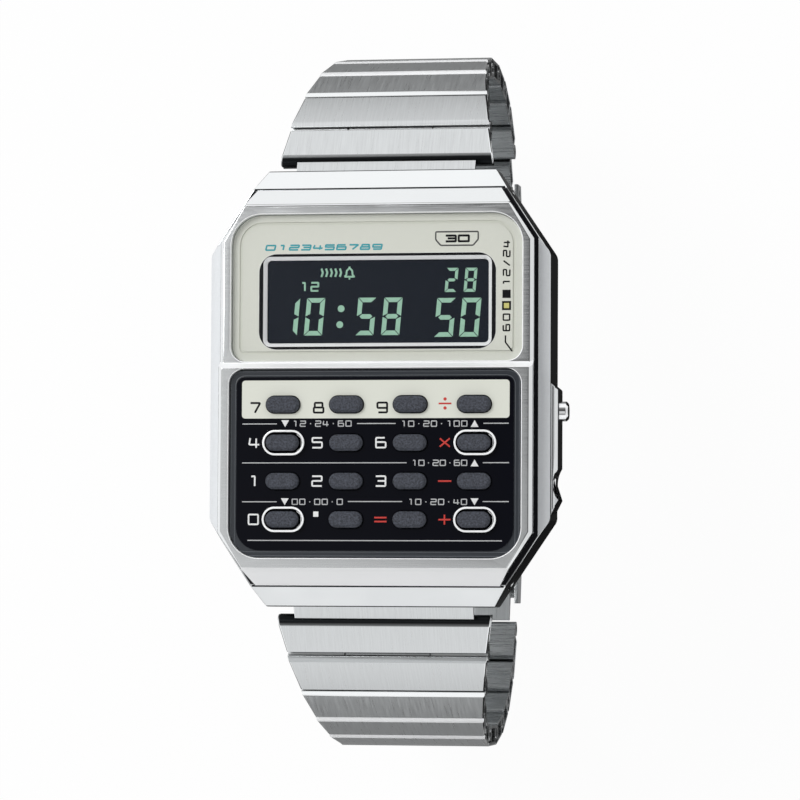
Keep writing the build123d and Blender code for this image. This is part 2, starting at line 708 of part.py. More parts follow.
def make_link(side, number, near_width, far_width):
    """A link folded from sheet: a flat face, a box behind it, and a curl for each hinge pin."""
    first = number == 0
    plane = link_plane(side, pivots[number], link_headings[number])
    length = first_link_length if first else link_pitch
    outside, inside = pin_depth, -knuckle_radius
    far = length - knuckle_radius - far_gap
    near = plate_start if first else link_gap - knuckle_radius - far_gap
    web = first_web_start if first else knuckle_radius + link_gap
    tongue = neck_width if first else tongue_share * near_width
    curl = neck_radius if first else knuckle_radius
    under_face = outside - sheet
    slant = (near_width - far_width) / 2 / (far - near)
    with BuildPart() as link:
        with BuildSketch(plane) as profile:
            if first:
                # the sheet turns down in a round nose above the case's end
                Polygon((near, outside), (far, outside), (far, inside), (web, inside),
                        (web, outside - nose_depth), (near, outside - nose_depth), align=None)
                fillet(profile.vertices().group_by(Axis.Y)[-1].sort_by(Axis.X)[0], nose_radius)
            else:
                Polygon((near, outside - bevel_drop), (near + bevel_length, outside), (far, outside),
                        (far, inside), (web, inside), (web, under_face), (near, under_face), align=None)
            fillet(profile.vertices().group_by(Axis.Y)[0], fold_radius)
            Polygon(*box_outline(web + inner_sheet, far - inner_sheet, inside + inner_sheet, under_face),
                    align=None, mode=Mode.SUBTRACT)
        extrude(amount=near_width / 2, both=True)
        # both sides taper towards the clasp
        with BuildSketch(Plane(origin=plane.origin, x_dir=plane.x_dir, z_dir=plane.y_dir)):
            half = near_width / 2
            Polygon((near, -half), (far, slant * (far - near) - half), (far, half - slant * (far - near)),
                    (near, half), align=None)
        extrude(amount=length, both=True, mode=Mode.INTERSECT)
        face_sides = link.edges().filter_by(
            lambda e: abs(plane.to_local_coords(e.center()).Y - outside) < fit_gap
            and abs(plane.to_local_coords(e.center()).Z) > far_width / 2 - fit_gap)
        chamfer(face_sides, side_bevel)
        # the curl round the near pin
        with BuildSketch(plane):
            Circle(curl)
            if first:
                Polygon(*box_outline(0, web + inner_sheet, under_face - neck_sheet, under_face), align=None)
            else:
                Polygon(*box_outline(0, web + inner_sheet, inside, inside + inner_sheet), align=None)
        extrude(amount=tongue / 2, both=True)
        # two curls round the far pin, either side of the next link's tongue
        fork_inside = tongue_share * far_width / 2 + link_gap
        for hand in (-1, 1):
            with BuildSketch(plane.offset(hand * fork_inside)):
                with Locations((length, 0)):
                    Circle(knuckle_radius)
                Polygon(*box_outline(far - inner_sheet, length, inside, inside + inner_sheet), align=None)
            extrude(amount=hand * (far_width / 2 - fork_inside))
        with BuildSketch(plane):
            with Locations((length, 0)):
                Circle(pin_diameter / 2 + running_gap)
            Circle(bar_diameter / 2 + running_gap if first else pin_diameter / 2 + pin_press_gap)
        extrude(amount=near_width, both=True, mode=Mode.SUBTRACT)
        if not first:
            with BuildSketch(plane):
                Circle(pin_diameter / 2)
            extrude(amount=near_width / 2 - pin_inset, both=True)
    return link


pivots = chain_pivots()
cover_width = band_end_width + 2 * cover_overlap
cover_inner_width = cover_width - 2 * cover_wall
end_link_width = cover_inner_width - 2 * end_link_side_gap
for side, hours in ((1, "twelve"), (-1, "six")):
    for number in range(link_count):
        near_width, far_width = link_widths[number], link_widths[number + 1]
        if side > 0 and number == link_count - 1:
            near_width = far_width = end_link_width
        write(make_link(side, number, near_width, far_width), f"link_{hours}_{number + 1:02d}")

# Folding clasp: three curved layers. The plate hangs on the six o'clock links, the blade
# folds back under the cover, and the cover's ears reach past the last twelve o'clock link.
end_y, end_z = pivots[-1]
clasp_bar_length = cover_inner_width - 2 * clasp_play
clasp_plate_width = cover_inner_width - 2 * plate_side_gap
blade_width = clasp_plate_width - 2 * blade_side_gap
blade_hinge_y = end_y - blade_hinge_inset
cover_hinge_y = cover_hinge_inset - end_y
cover_end_y = end_y - cover_end_inset
ear_end_y = end_y + ear_margin
clasp_middle_z = end_z + math.sqrt(clasp_radius**2 - end_y**2)
plate_in = clasp_radius - knuckle_radius
plate_out = plate_in + clasp_sheet
blade_in = plate_out + clasp_layer_gap
blade_out = blade_in + clasp_sheet
cover_in = blade_out + cover_gap
cover_out = cover_in + cover_wall
blade_hinge_r = plate_in + clasp_knuckle_radius
cover_hinge_r = blade_in + clasp_knuckle_radius
clasp_curl_gap = clasp_knuckle_radius + clasp_play


def on_arc(radius, y):
    """The point of the clasp's curve at this radius and this y, as (y, z)."""
    return y, clasp_middle_z - math.sqrt(radius**2 - y**2)


def slab(inside, outside, start, stop, width, from_x=0):
    """A curved layer of the clasp between two radii, centred across it or standing on from_x."""
    middle = (start + stop) / 2
    with BuildSketch(Plane.YZ.offset(from_x)) as section:
        with BuildLine():
            ThreePointArc(on_arc(inside, start), on_arc(inside, middle), on_arc(inside, stop))
            Line(on_arc(inside, stop), on_arc(outside, stop))
            ThreePointArc(on_arc(outside, stop), on_arc(outside, middle), on_arc(outside, start))
            Line(on_arc(outside, start), on_arc(inside, start))
        make_face()
    if from_x == 0:
        return extrude(section.sketch, amount=width / 2, both=True, mode=Mode.PRIVATE)
    return extrude(section.sketch, amount=abs(width), dir=(math.copysign(1, width), 0, 0), mode=Mode.PRIVATE)


def rod(centre, radius, width, from_x=0):
    """A curl or a pin across the clasp, centred across it or standing on from_x."""
    with BuildSketch(Plane.YZ.offset(from_x)) as section:
        with Locations(centre):
            Circle(radius)
    if from_x == 0:
        return extrude(section.sketch, amount=width / 2, both=True, mode=Mode.PRIVATE)
    return extrude(section.sketch, amount=abs(width), dir=(math.copysign(1, width), 0, 0), mode=Mode.PRIVATE)


plate_pin = (-end_y, end_z)
blade_pin = on_arc(blade_hinge_r, blade_hinge_y)
cover_pin = on_arc(cover_hinge_r, cover_hinge_y)
clasp_tongue = tongue_share * link_widths[-1]
blade_tongue = tongue_share * blade_width
pin_r = clasp_pin_diameter / 2
fork_x = blade_tongue / 2 + clasp_play

with BuildPart() as clasp_plate:
    wide_start = clasp_play + knuckle_radius - end_y
    wide_stop = blade_hinge_y - clasp_curl_gap
    add(slab(plate_in, plate_out, wide_start, wide_stop, clasp_plate_width))
    add(slab(plate_in, plate_out, -end_y, wide_start, clasp_tongue))
    add(rod(plate_pin, knuckle_radius, clasp_tongue))
    for hand in (-1, 1):
        fork_width = clasp_plate_width / 2 - fork_x
        add(slab(plate_in, plate_out, wide_stop, blade_hinge_y, hand * fork_width, hand * fork_x))
        add(rod(blade_pin, clasp_knuckle_radius, hand * fork_width, hand * fork_x))
    add(rod(plate_pin, pin_diameter / 2 + pin_press_gap, clasp_plate_width), mode=Mode.SUBTRACT)
    add(rod(blade_pin, pin_r + pin_press_gap, clasp_plate_width), mode=Mode.SUBTRACT)
    add(rod(plate_pin, pin_diameter / 2, link_widths[-1] - 2 * pin_inset))
    add(rod(blade_pin, pin_r, clasp_plate_width))
write(clasp_plate, "clasp_plate")

with BuildPart() as clasp_blade:
    add(slab(blade_in, blade_out, cover_hinge_y, wide_stop, blade_width))
    add(slab(blade_in, blade_out, wide_stop, blade_hinge_y, blade_tongue))
    add(rod(blade_pin, clasp_knuckle_radius, blade_tongue))
    add(rod(cover_pin, clasp_knuckle_radius, blade_width))
    add(rod(blade_pin, pin_r + running_gap, blade_width), mode=Mode.SUBTRACT)
    add(rod(cover_pin, pin_r + running_gap, blade_width), mode=Mode.SUBTRACT)
write(clasp_blade, "clasp_blade")

# A row of holes in the cover's sides sets the length of the bracelet
with BuildPart() as clasp_cover:
    add(slab(cover_in, cover_out, cover_hinge_y + cover_start, cover_end_y, cover_width))
    wall_x = cover_width / 2 - cover_wall
    for hand in (-1, 1):
        add(slab(plate_in, cover_out, cover_hinge_y - cover_heel, ear_end_y, hand * cover_wall, hand * wall_x))
    for n in range(adjust_holes):
        add(rod(on_arc(clasp_radius, end_y - adjust_pitch * n), ear_hole_diameter / 2, cover_width),
            mode=Mode.SUBTRACT)
    add(rod(cover_pin, pin_r, cover_width))
write(clasp_cover, "clasp_cover")

with BuildPart() as clasp_bar:
    add(rod((end_y, end_z), pin_diameter / 2, clasp_bar_length))
write(clasp_bar, "clasp_bar")
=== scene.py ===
# %% [markdown]
# # Dressing a calculator watch
# The watch arrives as bare solids: an eight-sided steel case, a bezel with two windows,
# sixteen rubber keys, a bracelet of folded links and its clasp. This lesson gives every
# one of them its real finish, softens the edges that a polishing wheel would soften, and
# adds the paint and the display, which are too thin to be worth solid modelling.

# %% Load the watch
import json
import math

import bmesh
import bpy
from mathutils import Matrix, Vector

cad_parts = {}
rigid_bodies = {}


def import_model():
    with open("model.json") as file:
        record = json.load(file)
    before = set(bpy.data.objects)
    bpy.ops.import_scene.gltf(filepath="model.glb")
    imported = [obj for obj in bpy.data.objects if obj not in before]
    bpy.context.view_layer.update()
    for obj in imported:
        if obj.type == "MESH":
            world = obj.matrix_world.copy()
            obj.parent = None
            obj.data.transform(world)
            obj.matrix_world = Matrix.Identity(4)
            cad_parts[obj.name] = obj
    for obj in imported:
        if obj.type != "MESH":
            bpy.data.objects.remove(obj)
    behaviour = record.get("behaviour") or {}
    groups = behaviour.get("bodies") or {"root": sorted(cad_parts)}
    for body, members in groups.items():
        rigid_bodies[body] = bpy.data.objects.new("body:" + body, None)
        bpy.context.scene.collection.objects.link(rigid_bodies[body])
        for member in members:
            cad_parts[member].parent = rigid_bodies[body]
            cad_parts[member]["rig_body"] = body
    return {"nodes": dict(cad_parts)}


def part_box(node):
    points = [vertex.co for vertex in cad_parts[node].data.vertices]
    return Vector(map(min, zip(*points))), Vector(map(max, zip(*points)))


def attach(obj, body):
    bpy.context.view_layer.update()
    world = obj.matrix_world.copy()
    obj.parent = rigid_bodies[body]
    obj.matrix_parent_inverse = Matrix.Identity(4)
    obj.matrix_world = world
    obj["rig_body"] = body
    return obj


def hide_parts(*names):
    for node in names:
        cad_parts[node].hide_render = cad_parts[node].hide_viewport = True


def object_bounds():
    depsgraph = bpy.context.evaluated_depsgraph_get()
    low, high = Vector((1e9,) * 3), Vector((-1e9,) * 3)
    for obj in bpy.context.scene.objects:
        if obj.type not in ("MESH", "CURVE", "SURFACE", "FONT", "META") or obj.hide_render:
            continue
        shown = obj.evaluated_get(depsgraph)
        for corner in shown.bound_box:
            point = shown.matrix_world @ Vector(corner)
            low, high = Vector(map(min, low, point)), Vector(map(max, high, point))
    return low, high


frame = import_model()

nodes = frame["nodes"]
cad_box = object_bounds()
MM = 0.001
print(len(nodes), "pieces of the watch are on the bench")

# %% [markdown]
# ## The camera
# The photograph was taken from nearly straight above the face with a long lens. A camera
# could be aimed by eye, but three angles and a distance, found from the outline of the
# case and the two ends of the bracelet, put every edge where the picture has it. The
# watch sits a little left of the picture's middle, so the lens aims beside the face.

# %% Camera
PHOTO_SIDE = 800
FOCAL_PIXELS = 3920
FILM_WIDTH = 36
CAMERA_DISTANCE = 400 * MM
CAMERA_YAW = math.radians(9.4)
CAMERA_PITCH = math.radians(3.3)
CAMERA_ROLL = math.radians(0.3)
AIM_POINT = Vector((2.56, -1.45, 8.1)) * MM

lens = bpy.data.cameras.new("portrait_lens")
lens.sensor_width = FILM_WIDTH
lens.lens = FOCAL_PIXELS / PHOTO_SIDE * lens.sensor_width
lens.clip_start = 10 * MM
camera = bpy.data.objects.new("portrait_camera", lens)
bpy.context.scene.collection.objects.link(camera)
viewpoint = CAMERA_DISTANCE * Vector((
    math.sin(CAMERA_YAW) * math.cos(CAMERA_PITCH),
    -math.sin(CAMERA_PITCH),
    math.cos(CAMERA_YAW) * math.cos(CAMERA_PITCH)))
backwards = (viewpoint - AIM_POINT).normalized()
rightwards = Vector((0, 1, 0)).cross(backwards).normalized()
upwards = backwards.cross(rightwards)
turn = Matrix((rightwards, upwards, backwards)).transposed().to_4x4()
camera.matrix_world = Matrix.Translation(viewpoint) @ turn @ Matrix.Rotation(CAMERA_ROLL, 4, "Z")
bpy.context.scene.camera = camera
print("the camera stands", round(viewpoint.length / MM), "mm away")

# %% [markdown]
# ## Helpers for finishes
# Each finish is a small node tree round one Principled shader. Texture comes from noise on
# Object coordinates, which are metres on the watch itself, so a stretch of 7000 across and
# 260 along gives brush marks a seventh of a millimetre wide and nearly four long. What is
# the same all over a finish is typed straight into the shader.

# %% Finish helpers
def new_finish(name, colour, roughness, metallic=0.0, mirror=0.5):
    finish = bpy.data.materials.new(name)
    finish.use_nodes = True
    shader = finish.node_tree.nodes["Principled BSDF"]
    shader.inputs["Specular IOR Level"].default_value = mirror
    shader.inputs["Base Color"].default_value = (*colour, 1)
    shader.inputs["Roughness"].default_value = roughness
    shader.inputs["Metallic"].default_value = metallic
    return finish, finish.node_tree, shader


def grain(tree, stretch, detail=3.0, rough=0.6):
    """Noise on the watch's own coordinates, stretched by so many waves a metre along each axis."""
    place = tree.nodes.new("ShaderNodeTexCoord")
    mapping = tree.nodes.new("ShaderNodeMapping")
    mapping.inputs["Scale"].default_value = stretch
    noise = tree.nodes.new("ShaderNodeTexNoise")
    noise.inputs["Scale"].default_value = 1.0
    noise.inputs["Detail"].default_value = detail
    noise.inputs["Roughness"].default_value = rough
    tree.links.new(place.outputs["Object"], mapping.inputs["Vector"])
    tree.links.new(mapping.outputs["Vector"], noise.inputs["Vector"])
    return noise.outputs["Fac"]


def spread(tree, value, low, high, start=0.3, stop=0.7):
    """Maps a value, from start to stop, to a range that a socket can use."""
    ramp = tree.nodes.new("ShaderNodeMapRange")
    ramp.inputs["From Min"].default_value = start
    ramp.inputs["From Max"].default_value = stop
    ramp.inputs["To Min"].default_value = low
    ramp.inputs["To Max"].default_value = high
    tree.links.new(value, ramp.inputs["Value"])
    return ramp.outputs["Result"]


def two_tone(tree, shader, value, first, second):
    """Colours a shader with a mix of two colours, by a value from 0 to 1."""
    mix = tree.nodes.new("ShaderNodeMix")
    mix.data_type = "RGBA"
    mix.inputs["A"].default_value = (*first, 1)
    mix.inputs["B"].default_value = (*second, 1)
    tree.links.new(value, mix.inputs["Factor"])
    tree.links.new(mix.outputs["Result"], shader.inputs["Base Color"])


def emboss(tree, shader, value, depth):
    """Bumps a surface by a value, depth metres deep at most."""
    bump = tree.nodes.new("ShaderNodeBump")
    bump.inputs["Strength"].default_value = 1.0
    bump.inputs["Distance"].default_value = depth
    tree.links.new(value, bump.inputs["Height"])
    tree.links.new(bump.outputs["Normal"], shader.inputs["Normal"])


# %% [markdown]
# ## Steel
# The same steel shows several finishes. The broad faces of the links are brushed along the
# bracelet, so their marks are fine across X and long the other ways. Most bevels, the case
# and the bezel are polished, with only faint wipe marks in the gloss. The folded insides of
# the links keep a duller sheen from the mill, and the windows' walls are blasted. One
# function makes them all, because they differ only in colour, grain and gloss. The rails
# and the bright edges have a low Metallic as well, and a pale colour that is painted sheen
# and painted highlight: they scatter light more than they mirror it, so they stay pale
# whichever way they face. The last two are painted shade: dark steel for walls and joints
# that little light reaches.

# %% Steel
GLOSSIER, ROUGHER, SMOOTHEST = 0.08, 0.06, 0.03


def steel(name, colour, roughness, stretch, contrast, depth=0, metallic=1.0):
    """Steel whose marks are darker by contrast, and depth metres deep."""
    finish, tree, shader = new_finish(name, colour, roughness, metallic)
    marks = grain(tree, stretch)
    darker = [c * (1 - contrast) for c in colour]
    two_tone(tree, shader, spread(tree, marks, 0, 1), darker, colour)
    lowest = max(roughness - GLOSSIER, SMOOTHEST)
    tree.links.new(spread(tree, marks, lowest, roughness + ROUGHER), shader.inputs["Roughness"])
    if depth:
        emboss(tree, shader, marks, depth)
    return finish


ALONG_BRACELET = (7000, 260, 260)
ACROSS_BRACELET = (260, 7000, 7000)
SMUDGES = (160, 160, 160)
BRUSHED_COLOUR = (0.68, 0.7, 0.71)
brushed = steel("brushed_steel", BRUSHED_COLOUR, 0.34, ALONG_BRACELET, 0.14, 0.0015 * MM)
polished = steel("polished_steel", (0.86, 0.88, 0.89), 0.1, SMUDGES, 0.02)
satin = steel("satin_steel", (0.8, 0.82, 0.83), 0.2, ACROSS_BRACELET, 0.05)
mill = steel("mill_steel", (0.5, 0.52, 0.53), 0.3, ACROSS_BRACELET, 0.12, 0.002 * MM)
chrome = steel("pusher_chrome", (0.9, 0.91, 0.92), 0.05, SMUDGES, 0.02)
# Painted sheen: the rails' reflection as a pale, nearly matt colour.
brushed_rail_painted_sheen = steel("brushed_rail_painted_sheen", (0.73, 0.75, 0.77), 0.58, ACROSS_BRACELET, 0.05, metallic=0.2)
blasted = steel("blasted_steel", (0.82, 0.84, 0.85), 0.5, SMUDGES, 0.03)
# Painted highlight: nearly white, so these edges shine whichever way they face.
painted_highlight = steel("painted_highlight", (0.93, 0.94, 0.95), 0.45, SMUDGES, 0.02, metallic=0.25)
# Painted shade for the joints, the brink and the links' far edges.
shaded = steel("shaded_steel", (0.04, 0.043, 0.047), 0.3, SMUDGES, 0.05)
# Painted shade for the case's diagonal walls.
flank_painted_shade = steel("flank_painted_shade", (0.16, 0.167, 0.175), 0.25, SMUDGES, 0.05)
print("ten steels mixed")

# %% [markdown]
# ## The first links' noses
# Beside the case the first link on each side turns down in a round nose. No light reaches
# under it, so its brushed steel fades to black within a millimetre. The fade is a matter of
# how near a point lies to the case, which the distance from the middle along Y gives.

# %% Nose finish
NOSE_BLACK, NOSE_LIGHT = 23.7 * MM, 24.55 * MM
NOSE_SHADE = (0.012, 0.013, 0.014)


def nose_steel():
    finish, tree, shader = new_finish("nose_steel", BRUSHED_COLOUR, 0.38, 1.0)
    place = tree.nodes.new("ShaderNodeSeparateXYZ")
    tree.links.new(tree.nodes.new("ShaderNodeTexCoord").outputs["Object"], place.inputs["Vector"])
    from_middle = tree.nodes.new("ShaderNodeMath")
    from_middle.operation = "ABSOLUTE"
    tree.links.new(place.outputs["Y"], from_middle.inputs[0])
    fade = spread(tree, from_middle.outputs["Value"], 0, 1, NOSE_BLACK, NOSE_LIGHT)
    two_tone(tree, shader, fade, NOSE_SHADE, BRUSHED_COLOUR)
    return finish


nose = nose_steel()
print("the noses fade over", round((NOSE_LIGHT - NOSE_BLACK) / MM, 2), "mm")

# %% [markdown]
# ## Face, rubber, glass and paint
# The face plate is a warm white lacquer under a clear cover. The keys are grainy rubber,
# which scatters light, so their noise is fine and drives a bump. The cover has to show
# what lies under it without a shadow, so it is mostly see-through by its alpha.

# %% Plain finishes
SPECKS = (2500, 2500, 2500)
PORES = (5200, 5200, 5200)
PORE_DARK, PORE_LIGHT, PORE_DEPTH = 0.35, 1.65, 0.04 * MM


def lacquer(name, colour, roughness, mottle=0.02, mirror=0.5):
    finish, tree, shader = new_finish(name, colour, roughness, mirror=mirror)
    darker = [c * (1 - mottle) for c in colour]
    specks = grain(tree, SPECKS, 2.0)
    two_tone(tree, shader, spread(tree, specks, 0, 1), darker, colour)
    return finish


def rubber(name, colour):
    finish, tree, shader = new_finish(name, colour, 0.75)
    pores = grain(tree, PORES, 2.0, 0.7)
    darker = [c * PORE_DARK for c in colour]
    lighter = [c * PORE_LIGHT for c in colour]
    two_tone(tree, shader, spread(tree, pores, 0, 1), darker, lighter)
    emboss(tree, shader, pores, PORE_DEPTH)
    return finish


CREAM = (0.73, 0.745, 0.67)
cream = lacquer("cream_lacquer", CREAM, 0.45)
# Black print, and also painted shade on the case's ledge and in the bezel's parting lines.
print_and_shade_black = lacquer("black_print_and_shade", (0.006, 0.006, 0.008), 0.4, mirror=0.12)
ink_white = lacquer("white_ink", (0.82, 0.83, 0.83), 0.5)
ink_pale = lacquer("pale_ink", (0.5, 0.51, 0.52), 0.5)
ink_grey = lacquer("grey_ink", (0.06, 0.06, 0.06), 0.5)
ink_red = lacquer("red_ink", (0.56, 0.03, 0.02), 0.5)
ink_teal = lacquer("teal_ink", (0.035, 0.36, 0.42), 0.5)
ink_yellow = lacquer("yellow_ink", (0.66, 0.62, 0.2), 0.5)
key_rubber = rubber("key_rubber", (0.043, 0.048, 0.063))
seal_rubber = rubber("seal_rubber", (0.02, 0.02, 0.02))
segment_green = lacquer("segment_green", (0.34, 0.6, 0.45), 0.5, 0.12)
display_dark = lacquer("display_dark", (0.013, 0.017, 0.025), 0.25, mirror=0.15)
board_green = lacquer("board_green", (0.02, 0.11, 0.05), 0.4)
module_grey = lacquer("module_grey", (0.05, 0.05, 0.055), 0.5)
buzzer_brass = steel("buzzer_brass", (0.72, 0.52, 0.24), 0.3, SMUDGES, 0.08)

cover_glass, _, glass = new_finish("cover_glass", (0.0, 0.0, 0.0), 0.03)
glass.inputs["Alpha"].default_value = 0.03
print(len(bpy.data.materials), "materials in the file so far")

# %% [markdown]
# ## The keypad's lacquer
# The panel is one gloss black moulding, but its top row stands on a cream band. Paint on a
# flat moulding is a matter of where, not of shape, so the band is a rounded box worked out
# on Object coordinates: how far a point lies outside the box decides between two colours.
# The band's measures are in millimetres. The panel's lowered border gets two greyer lacquers
# of its own, one for its gloss and one for the painted highlight lines along it.

# %% Keypad lacquer
PANEL_BLACK = (0.0022, 0.0026, 0.0055)
BAND_MIDDLE = (0.06, -1.36)
BAND_HALF = (13.56, 1.91)
BAND_CORNER = 0.35
BLACK_ROUGHNESS, CREAM_ROUGHNESS = 0.16, 0.4


def vector_step(tree, operation, first, second):
    """One Vector Math node between a socket and a fixed vector."""
    step = tree.nodes.new("ShaderNodeVectorMath")
    step.operation = operation
    tree.links.new(first, step.inputs[0])
    step.inputs[1].default_value = second
    return step.outputs["Vector"]


def keypad_lacquer():
    finish, tree, shader = new_finish("keypad_lacquer", PANEL_BLACK, BLACK_ROUGHNESS, mirror=0.1)
    place = tree.nodes.new("ShaderNodeTexCoord").outputs["Object"]
    flat = vector_step(tree, "MULTIPLY", place, (1, 1, 0))
    offset = vector_step(tree, "SUBTRACT", flat, (BAND_MIDDLE[0] * MM, BAND_MIDDLE[1] * MM, 0))
    folded = tree.nodes.new("ShaderNodeVectorMath")
    folded.operation = "ABSOLUTE"
    tree.links.new(offset, folded.inputs[0])
    core = ((BAND_HALF[0] - BAND_CORNER) * MM, (BAND_HALF[1] - BAND_CORNER) * MM, 0)
    past_core = vector_step(tree, "SUBTRACT", folded.outputs["Vector"], core)
    beyond = vector_step(tree, "MAXIMUM", past_core, (0, 0, 0))
    distance = tree.nodes.new("ShaderNodeVectorMath")
    distance.operation = "LENGTH"
    tree.links.new(beyond, distance.inputs[0])
    edge = BAND_CORNER * MM
    band = spread(tree, distance.outputs["Value"], 1, 0, edge * 0.95, edge * 1.05)
    two_tone(tree, shader, band, PANEL_BLACK, CREAM)
    roughness = spread(tree, band, BLACK_ROUGHNESS, CREAM_ROUGHNESS, 0, 1)
    tree.links.new(roughness, shader.inputs["Roughness"])
    return finish


panel_lacquer = keypad_lacquer()
border_gloss = lacquer("border_gloss", (0.03, 0.035, 0.043), 0.2)
# Painted highlight: the paler lines along the lowered border.
border_glint_paint = lacquer("border_glint_paint", (0.1, 0.11, 0.125), 0.3)
print("the cream band is", 2 * BAND_HALF[0], "by", 2 * BAND_HALF[1], "mm")

# %% [markdown]
# ## Softened edges
# A solid modeller leaves edges with no width, and real ones catch light. Each visible piece
# with hard edges is copied, its loose triangles are merged into whole faces, and a narrow
# bevel is cut along the sharp edges. The weighted normals keep the broad faces flat while
# the bevels turn. A piece that needs more than that brings a function of its own, which
# reshapes it before the bevel. A helper then paints faces by tests on where they lie and
# which way they look, because a solid brings no list of its faces.

# %% Edge softening
SHARP = math.radians(32)
FLAT = math.radians(1)
MERGE_WITHIN = 0.0005 * MM
BEVEL_STEPS = 2


def cut_bevel(form, edges, width, steps):
    """Rounds some edges with a bevel of this width, in metres."""
    bmesh.ops.bevel(form, geom=edges, offset=width, offset_type="OFFSET", segments=steps,
                    profile=0.5, affect="EDGES", material=-1, clamp_overlap=False)


def soften(name, width, reshape=None):
    """A copy of a node, its sharp edges bevelled by width millimetres, that stands for it."""
    piece = bpy.data.objects.new(name + "_dressed", nodes[name].data.copy())
    piece.data.materials.clear()
    bpy.context.scene.collection.objects.link(piece)
    form = bmesh.new()
    form.from_mesh(piece.data)
    bmesh.ops.remove_doubles(form, verts=form.verts, dist=MERGE_WITHIN)
    bmesh.ops.dissolve_limit(form, angle_limit=FLAT, verts=form.verts, edges=form.edges)
    if reshape:
        reshape(form)
    sharp = [e for e in form.edges if e.is_manifold and e.calc_face_angle(0) > SHARP
             and e.calc_length() > 2 * width * MM]
    cut_bevel(form, sharp, width * MM, BEVEL_STEPS)
    for face in form.faces:
        face.smooth = True
    for edge in form.edges:
        edge.smooth = edge.calc_face_angle(0) < SHARP
    form.to_mesh(piece.data)
    form.free()
    weights = piece.modifiers.new("flat_faces", "WEIGHTED_NORMAL")
    weights.keep_sharp = True
    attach(piece, nodes[name]["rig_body"])
    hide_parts(name)
    return piece


# %% Painting by faces
LEVEL = 0.99


def paint(piece, *coats):
    """Gives each face the last coat whose test it passes; the first coat goes everywhere."""
    for finish, _ in coats:
        piece.data.materials.append(finish)
    for face in piece.data.polygons:
        for index, (_, wanted) in enumerate(coats):
            if wanted(face):
                face.material_index = index


def everywhere(face):
    return True


def on_top(face):
    return face.normal.z > LEVEL


def on_underside(face):
    return face.normal.z < -LEVEL


# %% [markdown]
# ## Where the coats of case and bezel go
# The case is polished, but for the sloping rails beside the bezel, which are brushed and
# carry a painted sheen, the slope at six o'clock, which is blasted, and the four diagonal
# walls, which are painted darker as shade. The bezel's two tops carry a soft satin. The
# step between them, the rims of the windows and the slope at six o'clock carry a painted
# highlight, and the walls of the windows are blasted, so that they don't mirror the display.
# A narrow ledge of the case shows all round the bezel, and there it is painted black as
# shade. The thin brink where the case's slopes turn down is painted nearly black as shade.
# Each of these places gets a test on where a face lies and which way it looks.

# %% Tests for the coats
glass_low, glass_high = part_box("crystal")
keypad_low, keypad_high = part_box("keypad_panel")
RAIL_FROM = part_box("bezel")[1].x - 0.1 * MM
LEDGE_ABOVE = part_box("bezel")[0].z - 0.1 * MM
BRINK_ABOVE = 2.5 * MM
END_FROM = 15 * MM
WINDOW_ROOM = 0.3 * MM


def on_rail(face):
    return abs(face.center.x) > RAIL_FROM and 0.8 < face.normal.z < 0.95


def looks_into_window(face):
    """Whether a face of the bezel looks towards the middle of its own window."""
    low, high = (glass_low, glass_high) if face.center.y > keypad_high.y else (keypad_low, keypad_high)
    from_middle = face.center - (low + high) / 2
    from_middle.z = 0
    inside = all(low[axis] - WINDOW_ROOM < face.center[axis] < high[axis] + WINDOW_ROOM
                 for axis in (0, 1))
    return inside and face.normal.dot(from_middle) < 0


def on_window_wall(face):
    return abs(face.normal.z) < 0.1 and looks_into_window(face)


def on_window_rim(face):
    return 0.1 < face.normal.z < 0.98 and looks_into_window(face)


def on_ledge(face):
    return on_top(face) and face.center.z > LEDGE_ABOVE


def on_diagonal(face):
    return abs(face.normal.x) > 0.5 and abs(face.normal.y) > 0.3 and abs(face.normal.z) < 0.3


def on_low_slope(face):
    return face.normal.y < -0.5 and 0.4 < face.normal.z < 0.9 and face.center.y < -END_FROM


def on_brink(face):
    return 0.1 < face.normal.z < 0.6 and face.center.z > BRINK_ABOVE


def on_step(face):
    between = keypad_high.y < face.center.y < glass_low.y
    return between and 0.3 < face.normal.z < 0.9 and face.normal.y > 0.3


print("the rails begin", round(RAIL_FROM / MM, 2), "mm from the middle")

# %% [markdown]
# ## The bezel's rolled ends
# The flat top of the bezel doesn't end in a crease at twelve and six o'clock. It rolls over
# into the slope. A wider bevel alone would pull the edge inwards, so the edges between top
# and slope first move out a little, and are then rounded into small arcs.

# %% Rolled ends
ROLL_REACH, ROLL_WIDTH, ROLL_STEPS = 0.35 * MM, 0.2 * MM, 4
SAME_PLACE = 0.01 * MM


def roll_ends(form):
    """Moves both ends of the bezel's flat top outwards and rounds them."""
    ends = []
    for edge in form.edges:
        tilts = sorted(face.normal.z for face in edge.link_faces)
        far = min(abs(vert.co.y) for vert in edge.verts) > END_FROM
        straight = abs(edge.verts[0].co.y - edge.verts[1].co.y) < SAME_PLACE
        if far and straight and len(tilts) == 2 and tilts[1] > LEVEL and 0.5 < tilts[0] < 0.8:
            ends.append(edge)
    for vert in {vert for edge in ends for vert in edge.verts}:
        vert.co.y += math.copysign(ROLL_REACH, vert.co.y)
    cut_bevel(form, ends, ROLL_WIDTH, ROLL_STEPS)
    print(len(ends), "edges of the flat top rolled over")


# %% [markdown]
# ## Case, bezel and back
# The three big pieces of the case are softened and painted. The case's own edges are
# rounded the most and the back's the least. The back is polished like the case, with a
# satin face towards the wrist.

# %% Case, bezel and back
case = soften("case_body", 0.13)
# Painted sheen on the rails; painted shade on the ledge, the diagonal walls and the brink.
paint(case, (polished, everywhere), (brushed_rail_painted_sheen, on_rail), (blasted, on_low_slope),
      (print_and_shade_black, on_ledge), (flank_painted_shade, on_diagonal), (shaded, on_brink))
bezel = soften("bezel", 0.09, reshape=roll_ends)
